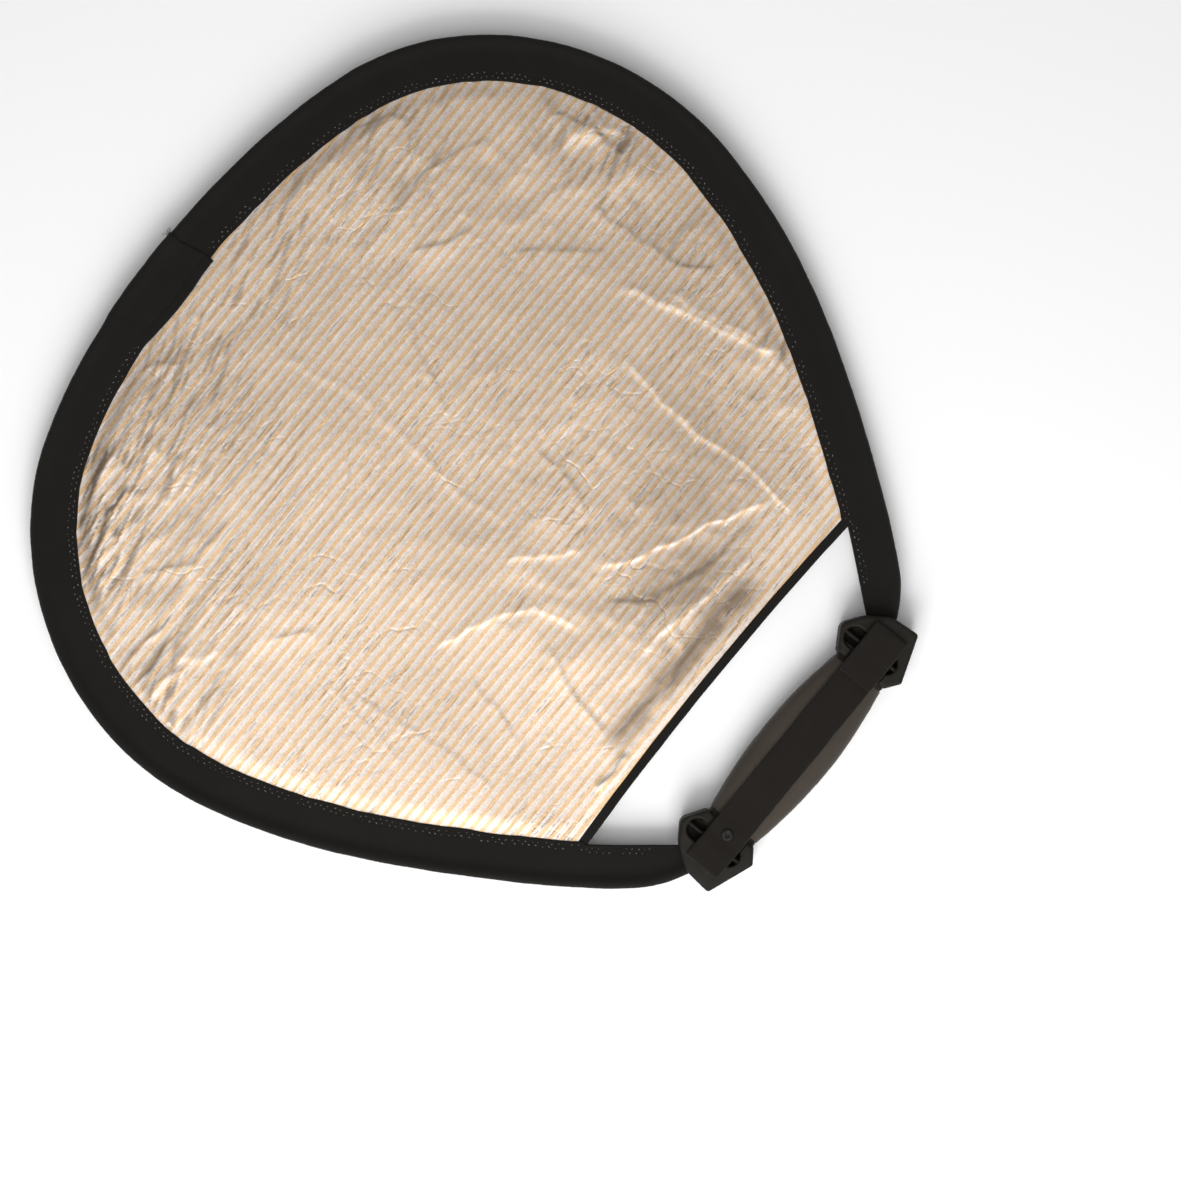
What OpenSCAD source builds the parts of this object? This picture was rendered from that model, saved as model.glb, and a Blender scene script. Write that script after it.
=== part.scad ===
// Collapsible reflector disc with a straight hand grip.
// A rounded, slightly tapered spring hoop in a fabric binding carries two reflective
// panels, one on each face. The ends of the hoop are held in two plastic end caps,
// joined by a padded grip. A webbing strap crosses each face of the grip.
//
// Millimetres. The disc lies flat with its front face up (+Z). +X runs along the grip
// and +Y from the grip towards the far edge of the disc. The origin is the centre of
// the footprint, on the plane the reflector lies on.

/* [Disc outline] */
// Overall width of the disc across the grip direction
rim_width = 450; // [440:5:470]
// Angle below the grip direction where the round corners run into the straighter sides
side_tangent = 13.8; // [12:0.2:15]
// Width of the fabric binding around the edge
binding_w = 24.5; // [22:0.5:27]
// Depth of the bead where the binding wraps the spring band
bead_t = 7.6; // [7.4:0.1:8.4]

/* [Spring band] */
// Depth of the flat spring band, front to rear
band_w = 6; // [5:0.2:6.2]
// Thickness of the flat spring band
band_t = 1; // [0.8:0.05:1.1]

/* [Panels] */
// Thickness of each reflective panel
panel_t = 0.25; // [0.2:0.01:0.27]
// Distance from the grip centre line to the upper edge of the edge tape
tape_top = 61; // [58:0.5:66]
// Width of the tape that edges the panels beside the hand opening
tape_w = 5; // [4:0.5:7]

/* [Grip] */
// Length of the padded grip between the caps
grip_len = 103; // [100:0.5:103]
// Width of the grip at its middle
grip_w = 41; // [36:0.5:44]
// Width of the grip at its ends
grip_end_w = 31; // [29:0.5:33]
// Thickness of the grip at its middle
grip_t = 22; // [20:0.5:22]

/* [Caps] */
// Thickness of the two end caps, front to rear
cap_t = 20; // [19.6:0.1:20.4]
// Length of the strap window
window_len = 32.7; // [30:0.1:34]
// Width of the strap window
window_w = 11.5; // [11:0.1:12]

/* [Straps] */
// Width of the webbing straps
strap_w = 20.5; // [18:0.5:22]
// Thickness of the webbing
strap_t = 1.4; // [1.2:0.05:1.5]
// Inner end of the folded-back tab, measured from the middle of the grip
tab_end = 47; // [44:0.5:48.5]

/* [Hidden] */
$fn = 96;
eps = 0.05;           // running gap between parts that nest
over = 1;             // overshoot of cutting tools past the faces they cut

// outline: top, corner, side and tail arcs, each tangent to the next
top_r = 0.87 * rim_width;
corner_r = 0.3365 * rim_width;
side_r = 1.073 * rim_width;
tail_r = 70;          // the last stretch turns in towards the cap
tail_start = -42.5;
tail_sweep = 28;
tail_end = tail_start - tail_sweep;
corner_x = rim_width / 2 - corner_r;
top_half = asin(corner_x / (top_r - corner_r));
side_x = corner_x - (side_r - corner_r) * cos(side_tangent);
tail_x = side_x + (side_r - tail_r) * cos(tail_start);
tail_y = 65;          // height of the tail arc's centre above the grip line
side_y = tail_y - (side_r - tail_r) * sin(tail_start);
corner_y = side_y - (side_r - corner_r) * sin(side_tangent);
top_y = corner_y - (top_r - corner_r) * cos(top_half);

// binding section, as distances inward from the outer edge
bead_end = 8;         // where the bead has come down to the flat plies
flat_t = 1.9;         // both plies together
band_in = 1.2;        // outer edge to the band
slot_in = 13;         // how deep the panels reach in between the plies
slot_t = 0.6;
lap_t = 0.45;         // the lapped end of the binding
lap_len = 50;
ply_slope = 0.15;     // how much the flat plies thin towards the inner edge
thread_rows = [20.7, 22.7];
thread_w = 0.4;
thread_h = 0.2;

// cap outline, seen from the front, right-hand cap
cap_x0 = 53.5;
cap_outline = [[cap_x0, -15.2], [61.5, -21], [87.5, -11.5], [86, 5], [78, 16.5],
               [66.5, 24.5], [cap_x0, 16.3]];
cap_round = 2.5;
neck_end = 58.5;      // the solid neck between the grip and the hollow of the cap
neck_outline = [[grip_len / 2, -14.8], [neck_end, -16.6], [neck_end, 17.6],
                [grip_len / 2, 15]];
neck_t = 18.4;
wall = 2.4;           // side walls of the cap shells
roof = 1.8;           // face walls of the cap shells
window_x = 65;
window_y = 3;
window_wall = 1.4;
window_floor = 4.8;   // height of the window floor above the middle plane
core_room = 4;        // half depth of the room for the band end

// band end
tail_run = 15;        // straight run of the band inside the cap
grind = 0.04;         // how much thinner the band is along that run
ferrule = [14, 2.6, 6.6];
ferrule_rivet_r = 1;
cradle = [17, 6.6];
cradle_h = core_room + 0.5;

// core beam and its screws
core = [116, 14, 5];
screw_x = 55.5;
screw_y = 4.5;
screw_r = 1.25;
head_r = 2.4;
head_t = 1.4;

// strap bars and strap run
bar_r = 1.5;
bar_z = cap_t / 2 - 0.3 - bar_r;
loop_r = bar_r + 0.1 + strap_t / 2;
tab_z = 12;           // underside of the tab above the middle plane
tab_x = 77.6;         // fold line of the tab, and of the riveted end
pad_t = 0.35;         // hook pad
pad_len = 10;
rivet_x = -57.4;
rivet_r = 3.5;
rivet_t = 0.9;

// label
label_w = 30;
label_len = 37;
label_t = 0.3;

// whole part on its rest plane
lift = tab_z + strap_t;
low_y = min(-grip_w / 2, inset(cap_outline, cap_round)[1][1] - cap_round);
high_y = top_y + top_r + lap_t;
mid_y = (low_y + high_y) / 2;

// ---- helpers ----

module placed() translate([0, -mid_y, lift]) children();
module both_sides() { children(); mirror([1, 0, 0]) children(); }
module turned() rotate([0, 180, 0]) children();

function unit(v) = v / norm(v);
function wrap(i, n) = (i + n) % n;
// half angle between the two edges that meet at corner i
function half_angle(p, i) =
    let (a = unit(p[wrap(i - 1, len(p))] - p[i]), b = unit(p[wrap(i + 1, len(p))] - p[i]))
    acos(a * b) / 2;
function bisector(p, i) =
    unit(unit(p[wrap(i - 1, len(p))] - p[i]) + unit(p[wrap(i + 1, len(p))] - p[i]));
// corners of a convex outline moved inward by d
function inset(p, d) =
    [for (i = [0 : len(p) - 1]) p[i] + bisector(p, i) * d / sin(half_angle(p, i))];

// convex outline with true round corners
module rounded(p, r) {
    n = len(p);
    c = inset(p, r);
    for (q = c) translate(q) circle(r);
    polygon([for (i = [0 : n - 1]) for (s = [-1, 1])
        p[i] + unit(p[wrap(i + s, n)] - p[i]) * r / tan(half_angle(p, i))]);
}

// lines shared by neighbouring arcs: each runs through both arcs' centres
far = 900;
function ray(from, angle) = from + far * [cos(angle), sin(angle)];
corner_c = [corner_x, corner_y];
tail_c = [tail_x, tail_y];
top_line = [corner_c, ray(corner_c, 90 - top_half)];
side_line = [corner_c, ray(corner_c, -side_tangent)];
tail_line = [tail_c, ray(tail_c, tail_start)];
end_line = [tail_c, ray(tail_c, tail_end)];
function mirrored(p) = [for (q = p) [-q[0], q[1]]];

// region inside the disc outline, moved inward by u, down to the grip line
module inside(u) {
    middle = [0, corner_y];
    intersection() {
        translate([0, top_y]) circle(top_r - u);
        polygon(concat([middle], top_line, mirrored([top_line[1], top_line[0]])));
    }
    both_sides() {
        intersection() {
            translate(corner_c) circle(corner_r - u);
            polygon([corner_c, side_line[1], top_line[1]]);
        }
        intersection() {
            translate([side_x, side_y]) circle(side_r - u);
            polygon([middle, [0, 0], [far, 0], side_line[1], corner_c]);
        }
    }
}

// a section turned all round a centre; the section's x is the radius
module turned_about(centre) translate([centre[0], centre[1], 0]) rotate_extrude() children();
module between(p) translate([0, 0, -cap_t]) linear_extrude(2 * cap_t) polygon(p);

// run a section, given by distance inward from the outer edge, round the whole hoop
module round_hoop(with_tail) {
    intersection() {
        turned_about([0, top_y]) translate([top_r, 0]) children();
        between(concat(top_line, mirrored([top_line[1], top_line[0]])));
    }
    both_sides() {
        intersection() {
            turned_about(corner_c) translate([corner_r, 0]) children();
            between([corner_c, side_line[1], top_line[1]]);
        }
        intersection() {
            turned_about([side_x, side_y]) translate([side_r, 0]) children();
            between([corner_c, tail_c, tail_line[1], side_line[1]]);
        }
        if (with_tail) round_tail() children();
    }
}
module round_tail() intersection() {
    turned_about(tail_c) translate([tail_r, 0]) children();
    between([tail_c, end_line[1], tail_line[1]]);
}

// part of the far edge that the binding's lapped end covers, to the left of the middle
lap_angle = lap_len / top_r * 180 / PI;
module under_lap() between([[0, top_y], [0, far], ray([0, top_y], 90 + lap_angle)]);

// section of the binding, grown outward by g; x is minus the distance inward
module sleeve(g) {
    upper = [[g, 0.63 * bead_t / 2], [-0.7, 0.95 * bead_t / 2 + g], [-2.8, bead_t / 2 + g],
             [-bead_end, flat_t / 2 + ply_slope + g], [-binding_w, flat_t / 2 + g]];
    n = len(upper);
    polygon([for (q = upper) q, for (i = [n - 1 : -1 : 0]) [upper[i][0], -upper[i][1]]]);
}

// middle line of the tail's straight run, from its start into the cap
module on_tail(along)
    translate([tail_x, tail_y, 0]) rotate([0, 0, tail_end])
        translate([tail_r - band_in - band_t / 2, -along, 0]) children();

// the flat ribbon of a strap: a middle line in x and z, given width along Y
function offset_side(p, d) = [for (i = [0 : len(p) - 1])
    let (a = p[max(i - 1, 0)], b = p[min(i + 1, len(p) - 1)], t = unit(b - a))
    p[i] + d * [-t[1], t[0]]];
module ribbon(p, t, w) {
    left = offset_side(p, t / 2);
    right = offset_side(p, -t / 2);
    n = len(p);
    rotate([90, 0, 0]) linear_extrude(w, center = true)
        polygon([for (q = left) q, for (i = [n - 1 : -1 : 0]) right[i]]);
}

// ---- hoop and fabric ----

module spring_band() placed() color("SlateGray") {
    round_hoop(true) translate([-band_in - band_t / 2, 0])
        square([band_t, band_w], center = true);
    // the straight end is ground a little thinner to go into its ferrule
    both_sides() on_tail((tail_run - over) / 2)
        cube([band_t - grind, tail_run + over, band_w - grind], center = true);
}

module band_ferrules() placed() color("Silver") both_sides()
    on_tail(tail_run - ferrule[0] / 2) difference() {
        cube([ferrule[1], ferrule[0], ferrule[2]], center = true);
        cube([band_t, ferrule[0] + over, band_w], center = true);
        ferrule_holes(ferrule[1] + over);
    }

module ferrule_holes(length)
    for (s = [-1, 1]) translate([0, s * ferrule[0] / 4, 0]) rotate([0, 90, 0])
        cylinder(r = ferrule_rivet_r, h = length, center = true);

// each rivet is two heads, one on each face of the ferrule, closed on the band
module ferrule_rivets() placed() color("Gainsboro") both_sides()
    on_tail(tail_run - ferrule[0] / 2) difference() {
        ferrule_holes(ferrule[1] + 0.8);
        cube([band_t, ferrule[0] + over, band_w], center = true);
    }

// keeps the binding inside the line where it narrows towards the cap
module binding_trim() {
    a = [106, 50];
    b = [75.5, 12.5];
    angle = atan2(b[1] - a[1], b[0] - a[0]);
    translate([a[0], a[1], -cap_t]) rotate([0, 0, angle])
        translate([-over, -2 * binding_w, 0]) cube([70, 2 * binding_w, 2 * cap_t]);
}

module rim_binding() placed() color("#201e1b") difference() {
    round_hoop(true) difference() {
        sleeve(0);
        translate([-band_in - band_t / 2, 0])
            square([band_t + 2 * eps, band_w + 2 * eps], center = true);
        translate([-binding_w - over, -slot_t / 2])
            square([binding_w - slot_in + over, slot_t]);
    }
    both_sides() binding_trim();
}

// the end of the binding laps over its start at the middle of the far edge
module binding_lap() placed() color("#2a2825") intersection() {
    turned_about([0, top_y]) translate([top_r, 0]) difference() {
        sleeve(lap_t);
        sleeve(0);
        translate([-binding_w - over, -slot_t]) square([over + eps, 2 * slot_t]);
    }
    under_lap();
}

// half thickness of the binding's flat plies at a distance u inward
function ply_top(u) = flat_t / 2 + ply_slope * (binding_w - u) / (binding_w - bead_end);

// two rows on each face, covered by the lap over its length
module seam_threads() placed() color("#8f8b84") difference() {
    round_hoop(false) for (u = thread_rows, s = [-1, 1])
        translate([-u, s * (ply_top(u - thread_w) + thread_h / 2)])
            square([thread_w, thread_h], center = true);
    under_lap();
}

// the panels end on a shallow arc beside the hand opening
tape_r = 1900;
module below_arc(y) translate([0, y - tape_r]) circle(tape_r, $fn = 360);

module panel_outline() difference() {
    inside(slot_in + 0.5);
    below_arc(tape_top - tape_w + 0.7);
}

module front_panel() placed() color("#c9b48f")
    translate([0, 0, 0.02]) linear_extrude(panel_t) panel_outline();

module rear_panel() placed() color("#b9b7b8")
    translate([0, 0, -0.02 - panel_t]) linear_extrude(panel_t) panel_outline();

module tape_outline(top, bottom) intersection() {
    inside(binding_w + eps);
    difference() {
        below_arc(top);
        below_arc(bottom);
    }
}

// one strip folded over the lower edge of both panels
module edge_tape() placed() color("#26241f") difference() {
    linear_extrude(1.9, center = true) tape_outline(tape_top, tape_top - tape_w);
    linear_extrude(slot_t, center = true)
        tape_outline(tape_top + over, tape_top - tape_w + 0.6);
}

module label() placed() color("White")
    translate([-label_w / 2, tape_top + 0.2, -panel_t - 0.02 - label_t])
        cube([label_w, label_len, label_t]);

// ---- caps ----

module window_hole(r_extra, z0, z1) translate([window_x, window_y, z0]) {
    r = window_w / 2 + r_extra;
    run = window_len - window_w;
    for (s = [-1, 1]) translate([0, s * run / 2, 0]) cylinder(r = r, h = z1 - z0);
    translate([-r, -run / 2, 0]) cube([2 * r, run, z1 - z0]);
}

module at_bar() translate([window_x, window_y, bar_z]) rotate([90, 0, 0]) children();
bar_len = window_len + 2 * window_wall;

module cap_shell() {
    difference() {
        union() {
            difference() {
                linear_extrude(cap_t / 2) rounded(cap_outline, cap_round);
                translate([0, 0, -over]) linear_extrude(cap_t / 2 - roof + over)
                    rounded(inset(cap_outline, wall), 1);
            }
            linear_extrude(neck_t / 2) polygon(neck_outline);
            window_hole(window_wall, core_room, cap_t / 2);
            cradle_block();
        }
        window_hole(0, window_floor, cap_t / 2 + over);
        at_bar() cylinder(r = bar_r, h = bar_len, center = true);
        // room for the strap to leave the window towards the grip
        translate([cap_x0 - over, -strap_w / 2 - 1, neck_t / 2])
            cube([window_x - window_w / 2 + 1.6 - cap_x0 + over, strap_w + 2, cap_t]);
        // mouth for the binding
        intersection() {
            turned_about(tail_c)
                translate([tail_r - 18, -core_room]) square([18 + eps, 2 * core_room]);
            translate([73.5, -30, -core_room]) cube([20, 60, 2 * core_room]);
        }
        on_tail(tail_run / 2 - 2)
            cube([band_t + 2 * eps, tail_run + 4, band_w + 2 * eps], center = true);
        on_tail(tail_run - ferrule[0] / 2) {
            cube([ferrule[1] + 2 * eps, ferrule[0] + 2 * eps, ferrule[2] + 2 * eps],
                 center = true);
            cube([ferrule[1] + 1, ferrule[0] * 0.85, 2 * ferrule_rivet_r + 0.4],
                 center = true);
        }
        cube([core[0] + 2 * eps, core[1] + 2 * eps, core[2] + 2 * eps], center = true);
        for (s = [-1, 1]) translate([screw_x, s * screw_y, -over])
            cylinder(r = screw_r, h = neck_t / 2 - 1.2 + over);
    }
}

// ribs that hold the ferrule
module cradle_block() intersection() {
    on_tail(tail_run - ferrule[0] / 2)
        translate([-cradle[1] / 2, -cradle[0] / 2, 0]) cube([cradle[1], cradle[0], cradle_h]);
    linear_extrude(cradle_h) rounded(inset(cap_outline, 1), 1);
}

module rear_cap_shell() difference() {
    mirror([0, 0, 1]) cap_shell();
    for (s = [-1, 1]) translate([screw_x, s * screw_y, -neck_t / 2 - over]) {
        cylinder(r = head_r, h = head_t + over);
        cylinder(r = screw_r, h = neck_t / 2);
    }
}

module right_cap_front() placed() color("#2d2c2a") cap_shell();
module right_cap_rear() placed() color("#2d2c2a") rear_cap_shell();
module left_cap_front() placed() color("#2d2c2a") mirror([1, 0, 0]) cap_shell();
module left_cap_rear() placed() color("#2d2c2a") mirror([1, 0, 0]) rear_cap_shell();

// ---- grip ----

module screw_shafts(r, z0, z1)
    both_sides() for (s = [-1, 1]) translate([screw_x, s * screw_y, z0])
        cylinder(r = r, h = z1 - z0);

module grip_core() placed() color("Gray") difference() {
    cube(core, center = true);
    screw_shafts(screw_r, -core[2], core[2]);
}

module core_screws() placed() color("Silver") {
    screw_shafts(screw_r, -neck_t / 2 + head_t, neck_t / 2 - 1.2);
    screw_shafts(head_r, -neck_t / 2, -neck_t / 2 + head_t);
}

// a shallow arc through the middle height and the end height
function bow_r(mid, end) =
    let (d = mid - end, h = grip_len / 2) (h * h + d * d) / (2 * d);
module bowed(mid, end) intersection() {
    r = bow_r(mid, end);
    translate([0, mid - r]) circle(r, $fn = 180);
    translate([0, r - mid]) circle(r, $fn = 180);
    square([grip_len, 4 * mid], center = true);
}

module grip_sleeve() placed() color("#4b443e") difference() {
    intersection() {
        linear_extrude(grip_t, center = true) bowed(grip_w / 2, grip_end_w / 2);
        rotate([90, 0, 0]) linear_extrude(grip_w + over, center = true)
            bowed(grip_t / 2, neck_t / 2);
        grip_section();
    }
    cube([core[0], core[1] + 2 * eps, core[2] + 2 * eps], center = true);
}

module grip_section() {
    r = 7.5;
    rotate([90, 0, 90]) linear_extrude(grip_len, center = true)
        rounded([[-grip_w / 2, -grip_t / 2], [grip_w / 2, -grip_t / 2],
                 [grip_w / 2, grip_t / 2], [-grip_w / 2, grip_t / 2]], r);
}

// ---- straps ----

module strap_bars() placed() color("Gray") both_sides() for (turn = [0, 180])
    rotate([turn, 0, 0]) translate([0, turn == 0 ? 0 : -2 * window_y, 0])
        at_bar() cylinder(r = bar_r, h = bar_len, center = true);

// height of the grip's face at x, and the middle line of a strap that rests on it
function face_z(x) = let (r = bow_r(grip_t / 2, neck_t / 2)) grip_t / 2 - r + sqrt(r * r - x * x);
function arc_points(c, r, from, to, n) =
    [for (i = [0 : n]) let (a = from + (to - from) * i / n) c + r * [cos(a), sin(a)]];
ply = strap_t / 2 + 0.1;
corner_in = window_x - window_w / 2;   // the window's edges, which the strap bends round
corner_out = window_x + window_w / 2;
bend_r = ply + 0.05;
face_ply = cap_t / 2 + ply;            // middle of the ply that lies on the cap
grip_run = concat(
    [for (x = [-38 : 12.5 : 49.5]) [x, face_z(x) + ply + 0.1]],
    arc_points([corner_in, neck_t / 2], bend_r, 90, 40, 3));
// the riveted end: under the bar, out over the cap, folded back and riveted on the neck
riveted_end = concat(
    [[-52.2, neck_t / 2 + ply]],
    arc_points([-corner_in, neck_t / 2], bend_r, 90, 140, 3),
    arc_points([-window_x, bar_z], loop_r, -50, -130, 5),
    arc_points([-corner_out, cap_t / 2], bend_r, 40, 90, 3),
    arc_points([-tab_x, face_ply + ply], ply, -90, -270, 6),
    [[-66, face_ply + 2 * ply], [rivet_x - rivet_r - 0.6, neck_t / 2 + 3.05 * ply],
     [rivet_x + rivet_r, neck_t / 2 + 3.05 * ply], [-50, neck_t / 2 + 2.6 * ply]]);
strap_line = concat(
    riveted_end,
    grip_run,
    arc_points([window_x, bar_z], loop_r, -130, -50, 5),
    arc_points([corner_out, cap_t / 2], bend_r, 140, 90, 3),
    [[tab_x, face_ply]]);

module strap() difference() {
    ribbon(strap_line, strap_t, strap_w);
    translate([rivet_x, 0, neck_t / 2]) cylinder(r = 1, h = 4 * strap_t);
}
module strap_rivet() translate([rivet_x, 0, neck_t / 2 + 0.1])
    union() {
        cylinder(r = 1, h = 3.9 * ply);
        translate([0, 0, 3.05 * ply + strap_t / 2 - 0.1]) cylinder(r = rivet_r, h = rivet_t);
    }
// the loop pad lies on the strap, the hook pad is on the underside of the tab
pad_x = tab_end + 0.5;
loop_pad_t = 0.3;
module loop_pad()
    ribbon([for (x = [pad_x, max(pad_x, 49.5), pad_x + pad_len])
        [x, lookup(x, grip_run) + (strap_t + loop_pad_t) / 2 + eps]], loop_pad_t, strap_w - 1);
module tab() translate([tab_end, -strap_w / 2, tab_z])
    cube([tab_x - tab_end, strap_w, strap_t]);
module hook_pad() translate([pad_x, -strap_w / 2 + 0.5, tab_z - pad_t])
    cube([pad_len, strap_w - 1, pad_t]);

module front_strap() placed() color("#161514") strap();
module front_strap_rivet() placed() color("#3a3836") strap_rivet();
module front_loop_pad() placed() color("#1d1c1b") loop_pad();
module front_tab() placed() color("#161514") tab();
module front_hook_pad() placed() color("#242321") hook_pad();
module rear_strap() placed() color("#161514") turned() strap();
module rear_strap_rivet() placed() color("#3a3836") turned() strap_rivet();
module rear_loop_pad() placed() color("#1d1c1b") turned() loop_pad();
module rear_tab() placed() color("#161514") turned() tab();
module rear_hook_pad() placed() color("#242321") turned() hook_pad();

spring_band();
band_ferrules();
ferrule_rivets();
rim_binding();
binding_lap();
seam_threads();
front_panel();
rear_panel();
edge_tape();
label();
left_cap_front();
left_cap_rear();
right_cap_front();
right_cap_rear();
grip_core();
grip_sleeve();
core_screws();
strap_bars();
front_strap();
front_strap_rivet();
front_loop_pad();
front_tab();
front_hook_pad();
rear_strap();
rear_strap_rivet();
rear_loop_pad();
rear_tab();
rear_hook_pad();
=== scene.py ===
"""Looks of the collapsible reflector disc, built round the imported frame.

Shapes are worked out in millimetres in the grip's own frame: X along the grip, Y from the
grip's centre line towards the far edge, Z up from the middle plane of the disc.
"""
import math

import bmesh
import bpy
import numpy as np
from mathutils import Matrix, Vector

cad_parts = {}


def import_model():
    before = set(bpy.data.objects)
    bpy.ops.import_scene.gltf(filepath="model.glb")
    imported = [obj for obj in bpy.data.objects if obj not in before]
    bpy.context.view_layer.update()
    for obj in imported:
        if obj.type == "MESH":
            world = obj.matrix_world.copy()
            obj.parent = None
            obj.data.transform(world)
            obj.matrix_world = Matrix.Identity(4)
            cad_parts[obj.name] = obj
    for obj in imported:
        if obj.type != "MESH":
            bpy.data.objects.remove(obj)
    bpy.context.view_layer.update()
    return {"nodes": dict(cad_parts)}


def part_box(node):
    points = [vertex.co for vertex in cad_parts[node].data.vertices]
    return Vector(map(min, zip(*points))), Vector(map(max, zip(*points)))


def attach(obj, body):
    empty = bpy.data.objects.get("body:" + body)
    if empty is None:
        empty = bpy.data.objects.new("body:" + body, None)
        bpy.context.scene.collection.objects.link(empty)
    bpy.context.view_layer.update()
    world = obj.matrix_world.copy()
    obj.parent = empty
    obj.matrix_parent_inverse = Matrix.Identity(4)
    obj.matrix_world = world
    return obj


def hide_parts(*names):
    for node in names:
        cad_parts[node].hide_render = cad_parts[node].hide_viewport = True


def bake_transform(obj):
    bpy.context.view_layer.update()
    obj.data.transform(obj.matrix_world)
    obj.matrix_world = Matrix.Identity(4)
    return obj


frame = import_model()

MM = 0.001


def middle(node):
    """Centre of a CAD node's box, in metres."""
    low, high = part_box(node)
    return [(a + b) / 2 for a, b in zip(low, high)]


GRIP_Y = middle("front_strap")[1]
MID_Z = middle("grip_core")[2]
ORIGIN = np.array([0.0, GRIP_Y, MID_Z])
rim_low, rim_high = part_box("rim_binding")
RIM_W = (rim_high[0] - rim_low[0]) / MM


def world(points):
    """Points of the grip's frame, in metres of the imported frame."""
    return np.asarray(points, float) * MM + ORIGIN


# ---------------------------------------------------------------- small tools


def smooth(t):
    """Rises from 0 to 1 as t does, softly at both ends."""
    t = np.clip(t, 0.0, 1.0)
    return t * t * (3 - 2 * t)


def noise(x, y, cell, seed):
    """Smooth value noise from -1 to 1 with a given cell size."""
    size = 64
    table = np.random.default_rng(seed).uniform(-1, 1, (size, size))
    u, v = np.asarray(x, float) / cell, np.asarray(y, float) / cell
    i, j = np.floor(u).astype(int), np.floor(v).astype(int)
    f, g = u - i, v - j
    f, g = f * f * (3 - 2 * f), g * g * (3 - 2 * g)
    i0, i1, j0, j1 = i % size, (i + 1) % size, j % size, (j + 1) % size
    near = table[i0, j0] * (1 - f) + table[i1, j0] * f
    far = table[i0, j1] * (1 - f) + table[i1, j1] * f
    return near * (1 - g) + far * g


def tube_faces(rings, around, first=0):
    """Quads between rings of points, with an end face on each end of the tube."""
    faces = []
    for i in range(rings - 1):
        a = first + i * around
        b = a + around
        for j in range(around):
            k = (j + 1) % around
            faces.append((a + j, a + k, b + k, b + j))
    last = first + (rings - 1) * around
    faces.append(tuple(first + j for j in reversed(range(around))))
    faces.append(tuple(last + j for j in range(around)))
    return faces


def slab_faces(rows, cols):
    """Faces of a closed slab: a grid of outer points, then the same grid of inner ones."""
    faces, n = [], rows * cols
    for i in range(rows - 1):
        for j in range(cols - 1):
            q = i * cols + j
            faces.append((q, q + 1, q + cols + 1, q + cols))
            faces.append((n + q, n + q + cols, n + q + cols + 1, n + q + 1))
    loop = list(range(cols)) + [i * cols + cols - 1 for i in range(1, rows)]
    loop += list(range(n - 2, (rows - 1) * cols - 1, -1))
    loop += [i * cols for i in range(rows - 2, 0, -1)]
    return faces + [(p, q, n + q, n + p) for p, q in zip(loop, loop[1:] + loop[:1])]


def piece(name, verts, faces, material, nodes=(), body="reflector", run=None,
          sharp_angle=None):
    """A finished mesh piece from millimetre points; run is a per-point (along, across, wear), whose
    third value holds painted shading on the panels.
    """
    mesh = bpy.data.meshes.new(name)
    mesh.from_pydata(world(verts).tolist(), [], faces)
    shell = bmesh.new()
    shell.from_mesh(mesh)
    bmesh.ops.recalc_face_normals(shell, faces=shell.faces)
    shell.to_mesh(mesh)
    shell.free()
    if run is not None:
        values = np.zeros((len(verts), 3))
        values[:, : run.shape[1]] = run
        mesh.attributes.new("run", "FLOAT_VECTOR", "POINT").data.foreach_set(
            "vector", values.ravel())
    mesh.polygons.foreach_set("use_smooth", [True] * len(mesh.polygons))
    if sharp_angle:
        mesh.set_sharp_from_angle(angle=math.radians(sharp_angle))
    mesh.materials.append(material)
    obj = bpy.data.objects.new(name, mesh)
    bpy.context.scene.collection.objects.link(obj)
    if body:
        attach(obj, body)
    if nodes:
        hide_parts(*nodes)
    return obj


# ---------------------------------------------------------------- materials


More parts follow.
